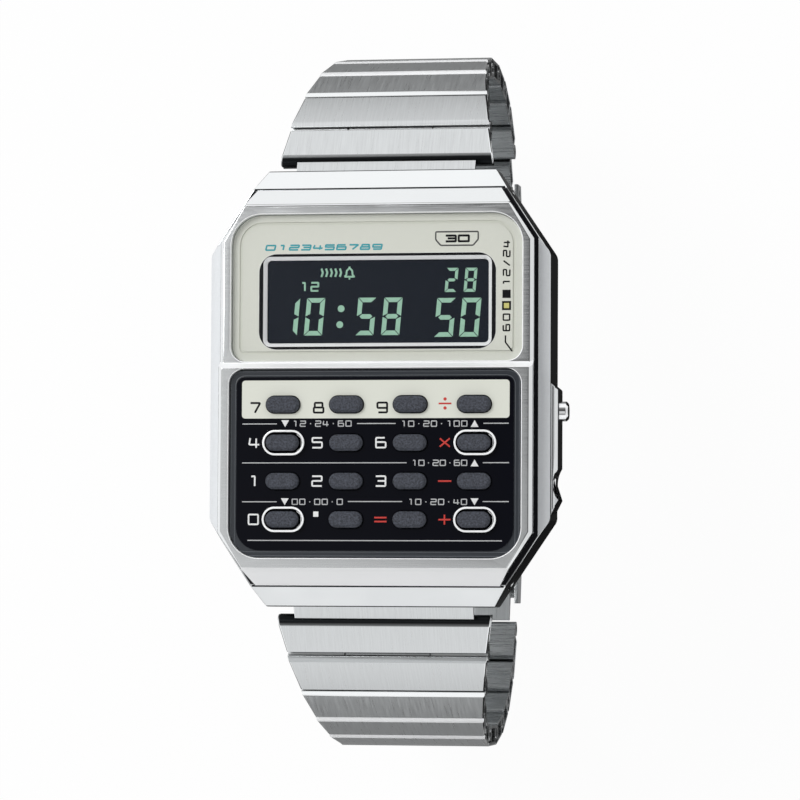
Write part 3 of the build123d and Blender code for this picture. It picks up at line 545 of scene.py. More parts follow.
# Painted highlight on the window rims, the step and the slope at six o'clock.
paint(bezel, (polished, everywhere), (satin, on_top), (blasted, on_window_wall),
      (painted_highlight, on_window_rim), (painted_highlight, on_step), (painted_highlight, on_low_slope))
back = soften("case_back", 0.05)
paint(back, (polished, everywhere), (satin, on_underside))
print("case and bezel:", len(case.data.polygons) + len(bezel.data.polygons), "faces")

# %% [markdown]
# ## Bracelet
# Every link is a strip of sheet folded round, brushed on its broad outer face and polished
# on the bevel that meets the link before it. Both are found on the link itself: the broad
# face is the largest one that looks away from the middle of the wrist, and the bevel is
# whatever leans from it towards the case. In place of a bevel the first links have their
# noses, with their painted shade. The second link's bevel is brushed at twelve o'clock and
# takes the darker mill steel at six as painted shade, and those of the fourth and fifth, low
# on the sides, carry a painted highlight. Every link's far edge lies in the dark of the next
# joint, and is painted dark steel as that shade.

# %% Links
WRIST_MIDDLE = Vector((0, 0, -19)) * MM
BROAD_FACE, OUTER_SIDE = 0.985, 0.55
BEVEL_OUTER, NOSE_OUTER, JOINT_OUTER = 0.5, -0.1, -0.2
BEVEL_LEAN, JOINT_LEAN = 0.1, -0.3
# Painted shade on the noses and on the second bevel at six; painted highlight on the fourth and fifth.
BEVEL_FINISH = {
    "link_twelve_01": nose, "link_six_01": nose,
    "link_twelve_02": brushed, "link_six_02": mill,
    "link_twelve_04": painted_highlight, "link_six_04": painted_highlight,
    "link_twelve_05": painted_highlight, "link_six_05": painted_highlight,
}


def outward_normal(mesh):
    """The direction that a link's broad outer face looks in."""
    facing = [face for face in mesh.polygons if face.normal.dot(face.center - WRIST_MIDDLE) > 0
              and abs(face.normal.x) < 0.2]
    return max(facing, key=lambda face: face.area).normal.copy()


def link_coats(name, outward):
    """The coats of one link, by how far each face looks outwards and towards the case."""
    to_case = Vector((math.copysign(1, outward.y), 0, 0)).cross(outward)
    bevel_outer = NOSE_OUTER if name.endswith("_01") else BEVEL_OUTER

    def on_bevel(face):
        towards_case = face.normal.dot(to_case) > BEVEL_LEAN and abs(face.normal.x) < 0.3
        return towards_case and face.normal.dot(outward) > bevel_outer

    # Painted shade: the far edge, in the dark of the next joint.
    def in_joint(face):
        return face.normal.dot(outward) > JOINT_OUTER and face.normal.dot(to_case) < JOINT_LEAN

    return ((mill, everywhere),
            (polished, lambda face: face.normal.dot(outward) > OUTER_SIDE),
            (brushed, lambda face: face.normal.dot(outward) > BROAD_FACE),
            (BEVEL_FINISH.get(name, polished), on_bevel),
            (shaded, in_joint))


links = [name for name in nodes if name.startswith("link_")]
for name in links:
    link = soften(name, 0.06)
    paint(link, *link_coats(name, outward_normal(link.data)))
for name in ("clasp_plate", "clasp_blade", "clasp_cover"):
    layer = soften(name, 0.05)
    paint(layer, (brushed, everywhere))
print(len(links), "links and three layers of the clasp")

# %% [markdown]
# ## Keys, pushers and what lies inside
# Nearly all of these shapes are right as they come, so they only swap their one material.
# The two pushers stand out from the case, so their edges are softened as well.

# %% Simple pieces
def refinish(finish, *names):
    for name in names:
        nodes[name].data.materials.clear()
        nodes[name].data.materials.append(finish)


refinish(key_rubber, *(name for name in nodes if name.startswith("key_")))
refinish(chrome, "clasp_bar")
for name in ("mode_pusher", "adjust_pusher"):
    pusher = soften(name, 0.06)
    paint(pusher, (chrome, everywhere))
refinish(seal_rubber, "case_gasket", "lcd_connectors")
refinish(rubber("membrane_rubber", (0.1, 0.1, 0.11)), "keypad_membrane")
refinish(board_green, "circuit_board")
refinish(module_grey, "module_frame")
refinish(mill, "battery_clip", "spring_bars", "case_back_screws")
refinish(satin, "coin_battery")
refinish(buzzer_brass, "piezo_buzzer")
refinish(cream, "face_plate")
refinish(display_dark, "lcd_panel")
print("inner pieces finished")

# %% [markdown]
# ## The crystal
# The crystal lies flat on the printed plate. Two surfaces in one place would flicker, so a
# film of air is left under it, thick enough for the print: the copy's lower points rise.

# %% Crystal
AIR_FILM = 0.04 * MM
crystal = soften("crystal", 0.04)
for point in crystal.data.vertices:
    if point.co.z < glass_low.z + AIR_FILM:
        point.co.z += AIR_FILM
paint(crystal, (cover_glass, everywhere))
print("a film of", AIR_FILM / MM, "mm lies under the crystal")

# %% [markdown]
# ## Panel and display frame
# The panel's guard rings are plated, and their tops carry a painted highlight; its lowered
# border is a slightly greyer gloss. The display's frame has a black printed rim and a slope
# with a painted highlight that leads down to the glass.
# The black print runs over the joint with the plate, so the copy is a hair larger than its
# seat, a hair nearer twelve o'clock, and stands a film of paint above the plate.

# %% Panel and frame
GUARD_RISE = 0.42 * MM
TOP_WITHIN, RING_ABOVE = 0.03 * MM, 0.05 * MM
panel = soften("keypad_panel", 0.04)
panel_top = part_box("keypad_panel")[1].z - GUARD_RISE


def on_panel_top(face):
    return abs(face.center.z - panel_top) < TOP_WITHIN and face.normal.z > 0.9


def on_guard_ring(face):
    return face.center.z > panel_top + RING_ABOVE and face.normal.z > 0.5


# Painted highlight on the tops of the guard rings.
paint(panel, (border_gloss, everywhere), (panel_lacquer, on_panel_top), (painted_highlight, on_guard_ring))

# %% Display frame
rim = soften("lcd_frame", 0.03)
# Painted highlight on the frame's slope; its top is black print.
paint(rim, (painted_highlight, everywhere), (print_and_shade_black, lambda face: face.normal.z > 0.95))
RIM_GROWTH, RIM_LIFT = Vector((0.13, 0.1, 0)) * MM, Vector((0, 0.06, 0.012)) * MM
rim_low, rim_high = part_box("lcd_frame")
rim_middle, rim_half = (rim_low + rim_high) / 2, (rim_high - rim_low) / 2
for point in rim.data.vertices:
    out_from = point.co - rim_middle
    for axis in (0, 1):
        point.co[axis] += out_from[axis] / rim_half[axis] * RIM_GROWTH[axis]
    point.co += RIM_LIFT
print("the display's frame is", round(2 * rim_half.x / MM, 1), "mm wide before it grows")

# %% [markdown]
# ## Paint in lines
# Printed digits and rules are strokes of even width with round ends. A curve with a round
# section gives exactly that, and pressed flat it is a film of ink. Its order of three turns
# each corner into a small arc when a point stands on either side of the corner.

# %% Line paint
INK_HEIGHT = 0.015


def eased(points, radius):
    """Adds a point before and after each corner, so that the stroke turns in a small arc."""
    row = [Vector(p) for p in points]
    out = [row[0]]
    for before, corner, after in zip(row, row[1:], row[2:]):
        for neighbour in (before, after):
            reach = min(radius, (neighbour - corner).length * 0.45)
            out.append(corner + (neighbour - corner).normalized() * reach)
        out.insert(-1, corner)
    if len(row) == 2:
        out.append((row[0] + row[1]) / 2)
    return out + [row[-1]]


def ink(name, strokes, width, height, finish, radius=0.2):
    """Paints strokes, rows of points in millimetres, on the surface at this height."""
    line = bpy.data.curves.new(name, "CURVE")
    line.dimensions = "3D"
    line.bevel_depth = width * MM / 2
    line.bevel_resolution = 2
    line.resolution_u = 5
    line.use_fill_caps = True
    for stroke in strokes:
        points = eased(stroke, radius)
        spline = line.splines.new("NURBS")
        spline.points.add(len(points) - 1)
        for knot, point in zip(spline.points, points):
            knot.co = (point.x * MM, point.y * MM, 0, 1)
        spline.order_u = 3
        spline.use_endpoint_u = True
    holder = bpy.data.objects.new(name + "_line", line)
    bpy.context.scene.collection.objects.link(holder)
    bpy.context.view_layer.update()
    drawn = holder.evaluated_get(bpy.context.evaluated_depsgraph_get())
    mesh = bpy.data.meshes.new_from_object(drawn)
    bpy.data.objects.remove(holder)
    pressed = Matrix.Diagonal((1, 1, INK_HEIGHT / (width / 2), 1))
    mesh.transform(Matrix.Translation((0, 0, height)) @ pressed)
    mesh.materials.clear()
    mesh.materials.append(finish)
    film = bpy.data.objects.new(name, mesh)
    bpy.context.scene.collection.objects.link(film)
    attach(film, "case")
    return film


# %% [markdown]
# ## The bezel's parting lines
# At twelve and six o'clock the bezel's slope runs on into the case's. Only a thin black line
# of painted shade parts them, and it is drawn where the bezel ends.

# %% Parting lines
bezel_low, bezel_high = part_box("bezel")
PARTING_WIDTH, PARTING_HALF, PARTING_OUT = 0.2, 12.8, 0.03
PARTING_HEIGHT = bezel_low.z + 0.05 * MM
parting_y = bezel_high.y / MM + PARTING_OUT
parting = [[(-PARTING_HALF, side * parting_y), (PARTING_HALF, side * parting_y)] for side in (-1, 1)]
# Painted shade in the seam between bezel and case.
ink("parting_lines", parting, PARTING_WIDTH, PARTING_HEIGHT, print_and_shade_black)
print("the parting lines lie", round(parting_y, 2), "mm from the middle")

# %% [markdown]
# ## A drawn alphabet of digits
# The numbers are wide and square-shouldered. Each is one or two strokes in a box one unit
# wide and one high, and so are the signs. The same few strokes serve for the large numbers
# beside the keys and for the small rows of plain digits.

# %% Digits
GLYPHS = {
    "0": [((0.5, 0), (0, 0), (0, 1), (1, 1), (1, 0), (0.5, 0))],
    "1": [((0.25, 0.98), (0.62, 1), (0.62, 0))],
    "2": [((0, 1), (1, 1), (1, 0.52), (0, 0.52), (0, 0), (1, 0))],
    "3": [((0, 1), (1, 1), (1, 0), (0, 0)), ((0.2, 0.52), (1, 0.52))],
    "4": [((0.12, 1), (0, 0.32), (1.05, 0.32)), ((0.74, 0.95), (0.74, 0))],
    "5": [((1, 1), (0, 1), (0, 0.56), (1, 0.56), (1, 0), (0, 0))],
    "6": [((0.9, 1), (0, 1), (0, 0), (1, 0), (1, 0.56), (0.02, 0.56))],
    "7": [((0, 1), (1, 1), (0.45, 0))],
    "8": [((0.1, 0.58), (0.1, 1), (0.9, 1), (0.9, 0.58)),
          ((0.5, 0.52), (0, 0.52), (0, 0), (1, 0), (1, 0.52), (0.5, 0.52))],
    "9": [((0.1, 0), (1, 0), (1, 1), (0, 1), (0, 0.46), (0.98, 0.46))],
    ".": [((0.4, 0.5), (0.6, 0.5))],
    "+": [((0, 0.5), (1, 0.5)), ((0.5, 0), (0.5, 1))],
    "-": [((0, 0.5), (1, 0.5))],
    "=": [((0, 0.3), (1, 0.3)), ((0, 0.7), (1, 0.7))],
    "x": [((0.08, 0.08), (0.92, 0.92)), ((0.08, 0.92), (0.92, 0.08))],
    "/": [((0.1, 0), (0.9, 1))],
}


def written(text, left, foot, width, height, gap, lean=0.0):
    """The strokes of a row of glyphs whose first one stands at left, foot."""
    strokes = []
    for place, letter in enumerate(text):
        start = left + place * (width + gap)
        for stroke in GLYPHS[letter]:
            strokes.append([(start + (x + lean * y) * width, foot + y * height) for x, y in stroke])
    return strokes


# %% [markdown]
# ## The keypad's legends
# Each legend stands to the left of its key. The keys' own boxes give their middles, so the
# print follows the keys. The top row is black on cream, the rest white on black, and the
# operators red. All measures of print are in millimetres.

# %% Key legends
LEGENDS = {"key_7": "7", "key_8": "8", "key_9": "9", "key_4": "4", "key_5": "5", "key_6": "6",
           "key_1": "1", "key_2": "2", "key_3": "3", "key_0": "0", "key_multiply": "x",
           "key_minus": "-", "key_equals": "=", "key_plus": "+"}
LEGEND_SIZE = 0.98
LEGEND_LINE, BLACK_LINE = 0.175, 0.205
LEGEND_SHIFT = -2.95
TOP_ROW_SHIFT, TOP_ROW_DROP = 0.12, -0.32
DIVIDE_HALF, DIVIDE_RISE = 0.64, 0.06
SIGN_WIDTH = {"-": 1.33, "=": 1.24, "+": 1.22, "x": 1.2}


def key_middle(name):
    low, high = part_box(name)
    return (low.x + high.x) / 2 / MM, (low.y + high.y) / 2 / MM


black_strokes, white_strokes, red_strokes = [], [], []
for name, sign in LEGENDS.items():
    x, y = key_middle(name)
    drop = TOP_ROW_DROP if name in ("key_7", "key_8", "key_9") else 0
    shift = LEGEND_SHIFT + (TOP_ROW_SHIFT if drop else 0)
    wide = SIGN_WIDTH.get(sign, LEGEND_SIZE)
    left, foot = x + shift - wide / 2, y + drop - LEGEND_SIZE / 2
    rows = written(sign, left, foot, wide, LEGEND_SIZE, 0)
    if drop:
        black_strokes += rows
    elif sign.isdigit():
        white_strokes += rows
    else:
        red_strokes += rows
x, y = key_middle("key_divide")
divide_x, divide_y = x + LEGEND_SHIFT, y + DIVIDE_RISE
red_strokes.append([(divide_x - DIVIDE_HALF, divide_y), (divide_x + DIVIDE_HALF, divide_y)])
ink("legend_black_digits", black_strokes, BLACK_LINE, panel_top, print_and_shade_black, radius=0.25)
ink("legend_white_digits", white_strokes, LEGEND_LINE, panel_top, ink_white, radius=0.25)
ink("legend_red_signs", red_strokes, LEGEND_LINE, panel_top, ink_red, radius=0.05)
print(len(LEGENDS) + 1, "legends painted")

# %% [markdown]
# ## Rules and small digits on the keypad
# Fine pale lines part the rows of keys, and break off where small digits stand in them. A
# rule is given by its height and its two ends, and a row of digits by its two ends and its
# height. The gaps between the digits follow from the room that is left.

# %% Rules
RULE_WIDTH = 0.105
RULES = [(-3.82, -13.44, -9.92), (-3.8, -1.76, 2.15), (-3.81, 11.0, 13.54),
         (-7.73, -13.44, 3.28), (-7.73, 10.96, 13.58),
         (-11.63, -13.42, -9.88), (-11.6, -2.64, 2.85), (-11.6, 10.96, 13.58),
         (-15.5, -12.84, 12.9)]
rules = [[(left, y), (right, y)] for y, left, right in RULES]
ink("legend_rules", rules, RULE_WIDTH, panel_top, ink_pale)
SMALL_ROWS = [("12.24.60", -8.3, -2.35, -3.8), ("10.20.100", 2.7, 9.35, -3.83),
              ("10.20.60", 3.8, 9.35, -7.74), ("00.00.0", -8.3, -3.2, -11.63),
              ("10.20.40", 3.45, 9.35, -11.63)]
SMALL_WIDE, SMALL_HIGH, SMALL_LINE = 0.53, 0.53, 0.11
small_strokes = []
for text, left, right, y in SMALL_ROWS:
    gap = (right - left - len(text) * SMALL_WIDE) / (len(text) - 1)
    small_strokes += written(text, left, y - SMALL_HIGH / 2, SMALL_WIDE, SMALL_HIGH, gap)
ink("legend_small_digits", small_strokes, SMALL_LINE, panel_top, ink_pale, radius=0.12)
print(len(RULES), "rules and", len(SMALL_ROWS), "rows of small digits")

# %% [markdown]
# ## Pointers and dots
# Small triangles point from a row of digits to its key, a square marks the point key, and
# the dividing sign has two dots. These have an area rather than a stroke, so they start as
# flat polygons and are pulled up into a film as thick as the strokes.

# %% Flat films
def flat_piece(name, form, height, finish):
    """Turns flat faces into a thin film of ink that stands on a surface."""
    thick = bmesh.ops.extrude_face_region(form, geom=form.faces[:])["geom"]
    raised = [v for v in thick if isinstance(v, bmesh.types.BMVert)]
    bmesh.ops.translate(form, verts=raised, vec=(0, 0, INK_HEIGHT * MM))
    bmesh.ops.translate(form, verts=form.verts, vec=(0, 0, height))
    bmesh.ops.recalc_face_normals(form, faces=form.faces)
    mesh = bpy.data.meshes.new(name)
    form.to_mesh(mesh)
    form.free()
    mesh.materials.append(finish)
    film = bpy.data.objects.new(name, mesh)
    bpy.context.scene.collection.objects.link(film)
    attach(film, "case")
    return film


def add_polygon(form, corners, radius, x, y, spin=0.0):
    """One flat polygon of so many corners, round x, y, in millimetres."""
    made = bmesh.ops.create_circle(form, cap_ends=True, segments=corners, radius=radius * MM)["verts"]
    place = Matrix.Translation((x * MM, y * MM, 0)) @ Matrix.Rotation(spin, 4, "Z")
    bmesh.ops.transform(form, matrix=place, verts=made)


# %% Pointers
POINTERS = ((-9.07, -3.79, -1), (10.12, -3.83, 1), (10.13, -7.75, 1),
            (-9.06, -11.62, -1), (10.14, -11.62, -1))
POINTER_SIZE = 0.46
QUARTER = math.pi / 4
POINT_SIZE, POINT_X, POINT_Y = 0.37, -5.89, -12.86
DOT_SIDES, DOT_SIZE, DOT_APART = 16, 0.165, 0.45
pointers = bmesh.new()
for x, y, up in POINTERS:
    turned = 0 if up > 0 else math.pi
    add_polygon(pointers, 3, POINTER_SIZE, x, y - up * POINTER_SIZE / 4, turned)
add_polygon(pointers, 4, POINT_SIZE, POINT_X, POINT_Y, QUARTER)
flat_piece("legend_pointers", pointers, panel_top, ink_white)
dots = bmesh.new()
for side in (-1, 1):
    add_polygon(dots, DOT_SIDES, DOT_SIZE, divide_x, divide_y + side * DOT_APART)
flat_piece("legend_red_dots", dots, panel_top, ink_red)
print(len(POINTERS), "pointers, a square and two dots")

# %% [markdown]
# ## Lines on the panel's edge
# The lowered border shows two thin paler lines all round, which are painted highlights, and
# each guard ring has an arc beside its key, on the three o'clock side, which is a painted glint.
# All of them are strokes too: each of the border's is a box drawn in from the panel's edge,
# with eased corners.

# %% Panel lines
def border_path(inset):
    """A box inside the panel's edge, from the middle of its head all the way round."""
    low, high = keypad_low / MM, keypad_high / MM
    left, right, foot, head = low.x + inset, high.x - inset, low.y + inset, high.y - inset
    middle = (left + right) / 2
    return [(middle, head), (left, head), (left, foot), (right, foot), (right, head), (middle, head)]


BORDER_DROP = 0.15 * MM
BORDER_INSETS, BORDER_WIDTH, BORDER_CORNER = (0.16, 0.56), 0.07, 2.2
borders = [border_path(inset) for inset in BORDER_INSETS]
# Painted highlights: two paler lines round the lowered border.
ink("painted_border_glints", borders, BORDER_WIDTH, panel_top - BORDER_DROP, border_glint_paint, radius=BORDER_CORNER)

# %% Guard arcs
KEY_FLANGE = 0.35
ARC_REACH, ARC_OUT, ARC_BEND, ARC_WIDTH = 0.85, 0.22, 0.45, 0.1
half_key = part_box("key_5")[1].x / MM - key_middle("key_5")[0] - KEY_FLANGE
arc_out = half_key + ARC_OUT
arcs = []
for name in ("key_4", "key_0", "key_multiply", "key_plus"):
    x, y = key_middle(name)
    outer = x + arc_out
    inner = outer - ARC_BEND
    arcs.append([(inner, y + ARC_REACH), (outer, y + ARC_BEND),
                 (outer, y - ARC_BEND), (inner, y - ARC_REACH)])
# Painted glints: a white arc beside each guarded key.
ink("guard_painted_glints", arcs, ARC_WIDTH, panel_top, ink_white, radius=0.5)
print(len(arcs), "guard arcs stand", round(arc_out, 2), "mm from the middles of their keys")

# %% [markdown]
# ## The display
# A digital display draws its digits with seven bars. The outer six are strips with slanted
# ends, long on the outside and short on the inside, and the middle one is pointed at both
# ends, so all of them meet at thin gaps. One strip of each kind is drawn, and the others
# are its mirror images. The whole digit leans by five degrees. Unlit bars leave no mark.

# %% Display digits
BARS = {"0": "abcdef", "1": "bc", "2": "abged", "3": "abgcd", "4": "fgbc", "5": "afgcd",
        "6": "afgedc", "7": "abc", "8": "abcdefg", "9": "abcdfg"}
MIRRORS = {"a": (1, 1), "d": (1, -1), "b": (1, 1), "c": (1, -1),
           "f": (-1, 1), "e": (-1, -1), "g": (1, 1)}
LEAN = math.tan(math.radians(5))


def bar_corners(name, width, height, bar, gap):
    """The corners of one bar of a digit that stands round the origin."""
    across, high = width / 2, height / 2
    if name in "ad":
        return [(gap - across, high), (across - gap, high),
                (across - bar - gap, high - bar), (bar + gap - across, high - bar)]
    if name == "g":
        return [(gap + bar / 2 - across, 0), (gap + bar - across, bar / 2),
                (across - bar - gap, bar / 2), (across - gap - bar / 2, 0),
                (across - bar - gap, -bar / 2), (gap + bar - across, -bar / 2)]
    return [(across, high - gap), (across, gap),
            (across - bar, bar / 2 + gap), (across - bar, high - bar - gap)]


def add_digit(form, digit, x, y, width, height, bar, gap):
    """Draws the lit bars of one digit, whose middle is at x, y."""
    for name in BARS[digit]:
        across, along = MIRRORS[name]
        corners = [(across * u, along * v) for u, v in bar_corners(name, width, height, bar, gap)]
        form.faces.new([form.verts.new(((x + u + LEAN * v) * MM, (y + v) * MM, 0)) for u, v in corners])


# %% [markdown]
# ## What the display shows
# The time and the seconds are large, and the day is small. Each group of digits shares its
# height, its size and the width of its bars. Beside them stand a bell, the waves of its
# sound and the small digits of the half-day mark, which are strokes like the rest.

# %% Lit digits
HOURS_MINUTES = (("1", -9.02), ("0", -6.45), ("5", -1.2), ("8", 1.44))
SECONDS = (("5", 6.84), ("0", 9.4))
DAY = (("2", 7.49), ("8", 9.41))
GROUPS = ((HOURS_MINUTES, 7.06, 1.86, 3.78, 0.46, 0.05), (SECONDS, 6.91, 1.92, 3.9, 0.46, 0.05),
          (DAY, 10.67, 1.2, 2.42, 0.3, 0.04))
COLON = ((-3.735, 7.86), (-3.865, 6.25))
COLON_SIZE = 0.35
digits = bmesh.new()
for group, y, width, height, bar, gap in GROUPS:
    for digit, x in group:
        add_digit(digits, digit, x, y, width, height, bar, gap)
for x, y in COLON:
    add_polygon(digits, DOT_SIDES, COLON_SIZE, x, y)
display_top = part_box("lcd_panel")[1].z
flat_piece("display_digits", digits, display_top, segment_green)

# %% Signs on the display
WAVE = ((-5.77, 11.08), (-5.62, 11.5), (-5.77, 11.92))
WAVE_COUNT, WAVE_STEP = 5, 0.47
BELL_LEFT, BELL_FOOT = -3.4, 10.88
waves = [[(x + WAVE_STEP * n, y) for x, y in WAVE] for n in range(WAVE_COUNT)]
ink("display_waves", waves, 0.21, display_top, segment_green, radius=0.3)
BELL = [((0, 0.2), (0.18, 0.38), (0.22, 0.8), (0.5, 1.08),
         (0.78, 0.8), (0.82, 0.38), (1, 0.2), (0, 0.2)),
        ((0.5, 1.08), (0.5, 1.22)), ((0.42, 0), (0.58, 0))]
bell = [[(BELL_LEFT + x, BELL_FOOT + y) for x, y in stroke] for stroke in BELL]
ink("display_bell", bell, 0.19, display_top, segment_green, radius=0.12)
half_day = written("12", -7.9, 9.68, 0.72, 0.82, 0.38)
ink("display_half_day", half_day, 0.19, display_top, segment_green, radius=0.12)
print("the display reads 10:58 and 50 seconds")

# %% [markdown]
# ## Print on the face plate
# The plate carries a row of plain digits in teal, an outlined badge with a number in it,
# and at its right edge two squares between small digits that read upwards. The upright rows
# are written lying down like the others, and then each point is turned a quarter round.

# %% Face print
face_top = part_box("face_plate")[1].z
teal_row = written("0123456789", -11.4, 13.8, 0.9, 0.46, 0.31, 0.12)
ink("face_teal_digits", teal_row, 0.17, face_top, ink_teal, radius=0.15)
badge = [((8.05, 14.1), (6.45, 14.1), (5.94, 14.68), (5.94, 15.47),
          (10.24, 15.47), (10.24, 14.68), (9.73, 14.1), (8.05, 14.1))]
ink("face_badge_line", badge, 0.15, face_top, ink_grey, radius=0.25)
badge_number = written("30", 6.95, 14.5, 1.02, 0.58, 0.3)
ink("face_badge_number", badge_number, 0.22, face_top, print_and_shade_black, radius=0.15)

# %% Side print
SIDE_X = 13.12
SIDE_WIDE, SIDE_HIGH = 0.6, 0.64
SIDE_ROWS = (("12/24", 10.05, 0.36), ("60", 5.5, 0.45))
SIDE_LEADER = [(13.03, 5.03), (13.02, 4.35), (13.7, 3.45)]
UPPER_SQUARE_Y, LOWER_SQUARE_Y = 9.18, 8.01
side_strokes = []
for text, foot, gap in SIDE_ROWS:
    for stroke in written(text, 0, 0, SIDE_WIDE, SIDE_HIGH, gap):
        side_strokes.append([(SIDE_X + SIDE_HIGH / 2 - y, foot + x) for x, y in stroke])
side_strokes.append(SIDE_LEADER)
ink("face_side_print", side_strokes, 0.155, face_top, print_and_shade_black, radius=0.15)
squares = bmesh.new()
add_polygon(squares, 4, 0.58, SIDE_X, UPPER_SQUARE_Y, QUARTER)
add_polygon(squares, 4, 0.64, SIDE_X, LOWER_SQUARE_Y, QUARTER)
flat_piece("face_black_squares", squares, face_top, print_and_shade_black)
square = bmesh.new()
add_polygon(square, 4, 0.37, SIDE_X, LOWER_SQUARE_Y, QUARTER)
flat_piece("face_yellow_square", square, face_top + INK_HEIGHT * MM, ink_yellow)
print("the face is printed")

# %% [markdown]
# ## Studio floor
# A plain pale floor lies under the clasp. Light Path tells its material which rays ask: the
# camera, and anything that mirrors or lets light through, see clean white, and a little of
# the shaded paper is mixed in, so the floor keeps the watch's soft shadow.

# %% Floor
def flat_sheet(name, half_x, half_y, height):
    """A flat rectangle round the origin that belongs to the studio, not to the watch."""
    form = bmesh.new()
    bmesh.ops.create_grid(form, x_segments=1, y_segments=1, size=1)
    bmesh.ops.scale(form, verts=form.verts, vec=(half_x, half_y, 1))
    bmesh.ops.translate(form, verts=form.verts, vec=(0, 0, height))
    mesh = bpy.data.meshes.new(name)
    form.to_mesh(mesh)
    form.free()
    piece = bpy.data.objects.new(name, mesh)
    bpy.context.scene.collection.objects.link(piece)
    return piece


def sum_up(tree, operation, first, second):
    """One Math node; either value may be a plain number."""
    step = tree.nodes.new("ShaderNodeMath")
    step.operation = operation
    for socket, value in zip(step.inputs, (first, second)):
        if isinstance(value, bpy.types.NodeSocket):
            tree.links.new(value, socket)
        else:
            socket.default_value = value
    return step.outputs["Value"]


FLOOR_HALF = 2.0
FLOOR_GAP = 0.2 * MM
PAPER_WHITE = 0.95
floor_height = cad_box[0][2] - FLOOR_GAP
floor = flat_sheet("floor", FLOOR_HALF, FLOOR_HALF, floor_height)
floor_finish, floor_tree, floor_shader = new_finish("floor_paper", (0.9, 0.9, 0.9), 0.9)
rays = floor_tree.nodes.new("ShaderNodeLightPath").outputs
seen = sum_up(floor_tree, "MAXIMUM", rays["Is Camera Ray"], rays["Is Glossy Ray"])
seen = sum_up(floor_tree, "MAXIMUM", seen, rays["Is Transmission Ray"])
white = floor_tree.nodes.new("ShaderNodeEmission")
blend = floor_tree.nodes.new("ShaderNodeMixShader")
floor_tree.links.new(sum_up(floor_tree, "MULTIPLY", seen, PAPER_WHITE), blend.inputs["Fac"])
floor_tree.links.new(floor_shader.outputs["BSDF"], blend.inputs[1])
floor_tree.links.new(white.outputs["Emission"], blend.inputs[2])
floor_tree.links.new(blend.outputs["Shader"], floor_tree.nodes["Material Output"].inputs["Surface"])
floor.data.materials.append(floor_finish)
print("the floor lies", round(-floor_height / MM, 1), "mm under the middle of the watch")

# %% [markdown]
# ## A grey card for the steel
# Polished steel has no look of its own: it shows the room. A studio lays a grey card round
# a watch, so that the flanks and the lower links turn dark and the shape reads. The card
# lies just over the floor and only mirrors meet it. To the right it turns black, which gives
# the three o'clock flank its deep shade.

# %% Grey card
CARD_HEIGHT = 2 * MM
CARD_HALF_X, CARD_HALF_Y = 0.16, 0.19
CARD_GREY, CARD_BLACK = 0.27, 0.015
BLACK_FROM, BLACK_FULL = 11 * MM, 15 * MM
card = flat_sheet("grey_card", CARD_HALF_X, CARD_HALF_Y, floor_height + CARD_HEIGHT)
for kind in ("camera", "diffuse", "transmission", "volume_scatter", "shadow"):
    setattr(card, "visible_" + kind, False)
card_finish = bpy.data.materials.new("card_grey")
card_finish.use_nodes = True
card_tree = card_finish.node_tree
card_tree.nodes.clear()
where = card_tree.nodes.new("ShaderNodeSeparateXYZ")
card_tree.links.new(card_tree.nodes.new("ShaderNodeTexCoord").outputs["Object"], where.inputs["Vector"])
glow = card_tree.nodes.new("ShaderNodeEmission")
level = spread(card_tree, where.outputs["X"], CARD_GREY, CARD_BLACK, BLACK_FROM, BLACK_FULL)
card_tree.links.new(level, glow.inputs["Strength"])
card_out = card_tree.nodes.new("ShaderNodeOutputMaterial")
card_tree.links.new(glow.outputs["Emission"], card_out.inputs["Surface"])
card.data.materials.append(card_finish)
print("the card turns black", round(BLACK_FULL / MM), "mm to the right")

# %% [markdown]
# ## Soft boxes
# The room is a ring of white soft boxes near the horizon, brighter towards twelve and six
# o'clock, under a dark ceiling. One large box hangs overhead to the left, and its soft edge
# falls right over the face: the left of the bezel mirrors the box, its right the dark. All
# of it is painted on the world by direction.

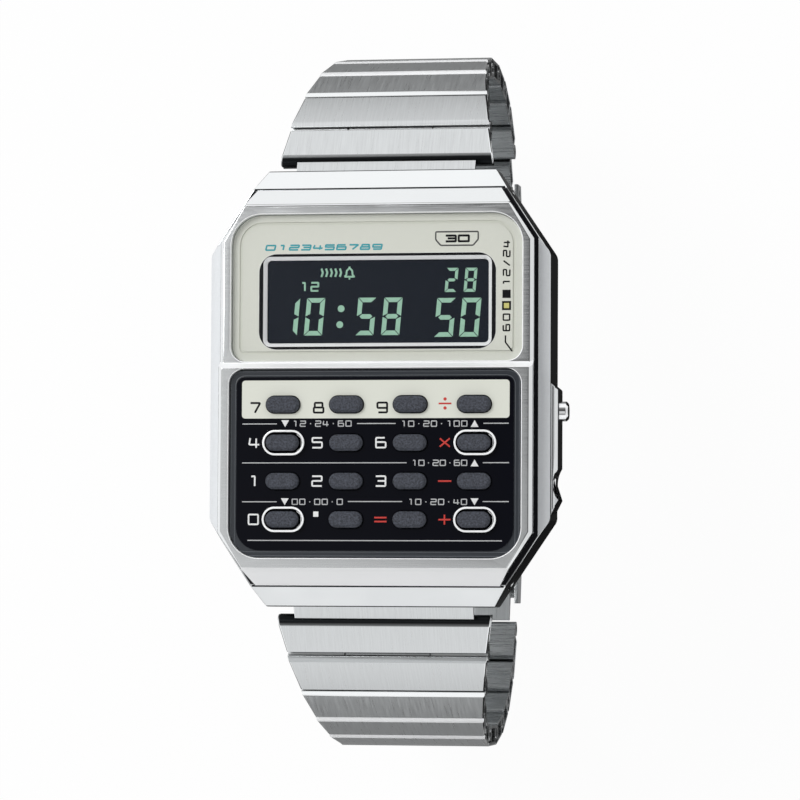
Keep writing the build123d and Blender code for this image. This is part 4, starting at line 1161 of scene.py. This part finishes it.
# %% World
RING_START, RING_FULL = 0.66, 0.77
RING_BESIDE, RING_ENDS = 0.8, 1.06
BOX_TOWARDS = (-0.93, -0.62)
BOX_START, BOX_FULL = 0.065, 0.145
BOX_LEVEL, CEILING_LEVEL, SHOULDER_LEVEL = 0.68, 0.07, 0.28
SHOULDER_START, SHOULDER_FULL = 0.3, 0.6
ENDS_START, ENDS_FULL = 0.25, 0.85
NO_ZERO = 0.001
world = bpy.data.worlds.new("studio")
world.use_nodes = True
bpy.context.scene.world = world
sky = world.node_tree
direction = sky.nodes.new("ShaderNodeSeparateXYZ")
sky.links.new(sky.nodes.new("ShaderNodeTexCoord").outputs["Generated"], direction.inputs["Vector"])
east, north = direction.outputs["X"], direction.outputs["Y"]
outwards = sum_up(sky, "POWER", sum_up(sky, "ADD", sum_up(sky, "MULTIPLY", east, east),
                                       sum_up(sky, "MULTIPLY", north, north)), 0.5)
to_box = sum_up(sky, "ADD", sum_up(sky, "MULTIPLY", east, BOX_TOWARDS[0]),
                sum_up(sky, "MULTIPLY", north, BOX_TOWARDS[1]))
ceiling = spread(sky, to_box, CEILING_LEVEL, BOX_LEVEL, BOX_START, BOX_FULL)
northern = sum_up(sky, "DIVIDE", sum_up(sky, "ABSOLUTE", north, 0),
                  sum_up(sky, "ADD", outwards, NO_ZERO))
ring = spread(sky, northern, RING_BESIDE, RING_ENDS, ENDS_START, ENDS_FULL)


def cross_fade(tree, weight, first, second):
    """first where the weight is 0, second where it is 1."""
    change = sum_up(tree, "SUBTRACT", second, first)
    return sum_up(tree, "ADD", first, sum_up(tree, "MULTIPLY", change, weight))


past_ceiling = spread(sky, outwards, 0, 1, SHOULDER_START, SHOULDER_FULL)
upper = cross_fade(sky, past_ceiling, ceiling, SHOULDER_LEVEL)
room = cross_fade(sky, spread(sky, outwards, 0, 1, RING_START, RING_FULL), upper, ring)
backdrop = sky.nodes["Background"]
backdrop.inputs["Color"].default_value = (1, 1, 1, 1)
sky.links.new(room, backdrop.inputs["Strength"])
print("the room is lit from", RING_BESIDE, "to", RING_ENDS, "round its horizon")

# %% [markdown]
# ## A lamp
# What the steel mirrors is painted on the world, but matt parts such as the keys and the
# face need a light with a side to it. One large round lamp does that, from above, to the
# left and towards twelve o'clock, so the shadows it leaves are soft.

# %% Lamp
LAMP_PLACE = Vector((-0.45, 0.35, 0.75))
LAMP_SIZE, LAMP_POWER = 0.5, 4.2
light = bpy.data.lights.new("key_lamp", "AREA")
light.shape = "DISK"
light.size = LAMP_SIZE
light.energy = LAMP_POWER
lamp = bpy.data.objects.new("key_lamp", light)
lamp.location = LAMP_PLACE
lamp.rotation_euler = LAMP_PLACE.to_track_quat("Z", "Y").to_euler()
bpy.context.scene.collection.objects.link(lamp)
bpy.context.scene.view_settings.view_transform = "Standard"
print("the lamp hangs", round(LAMP_PLACE.length, 2), "m away")
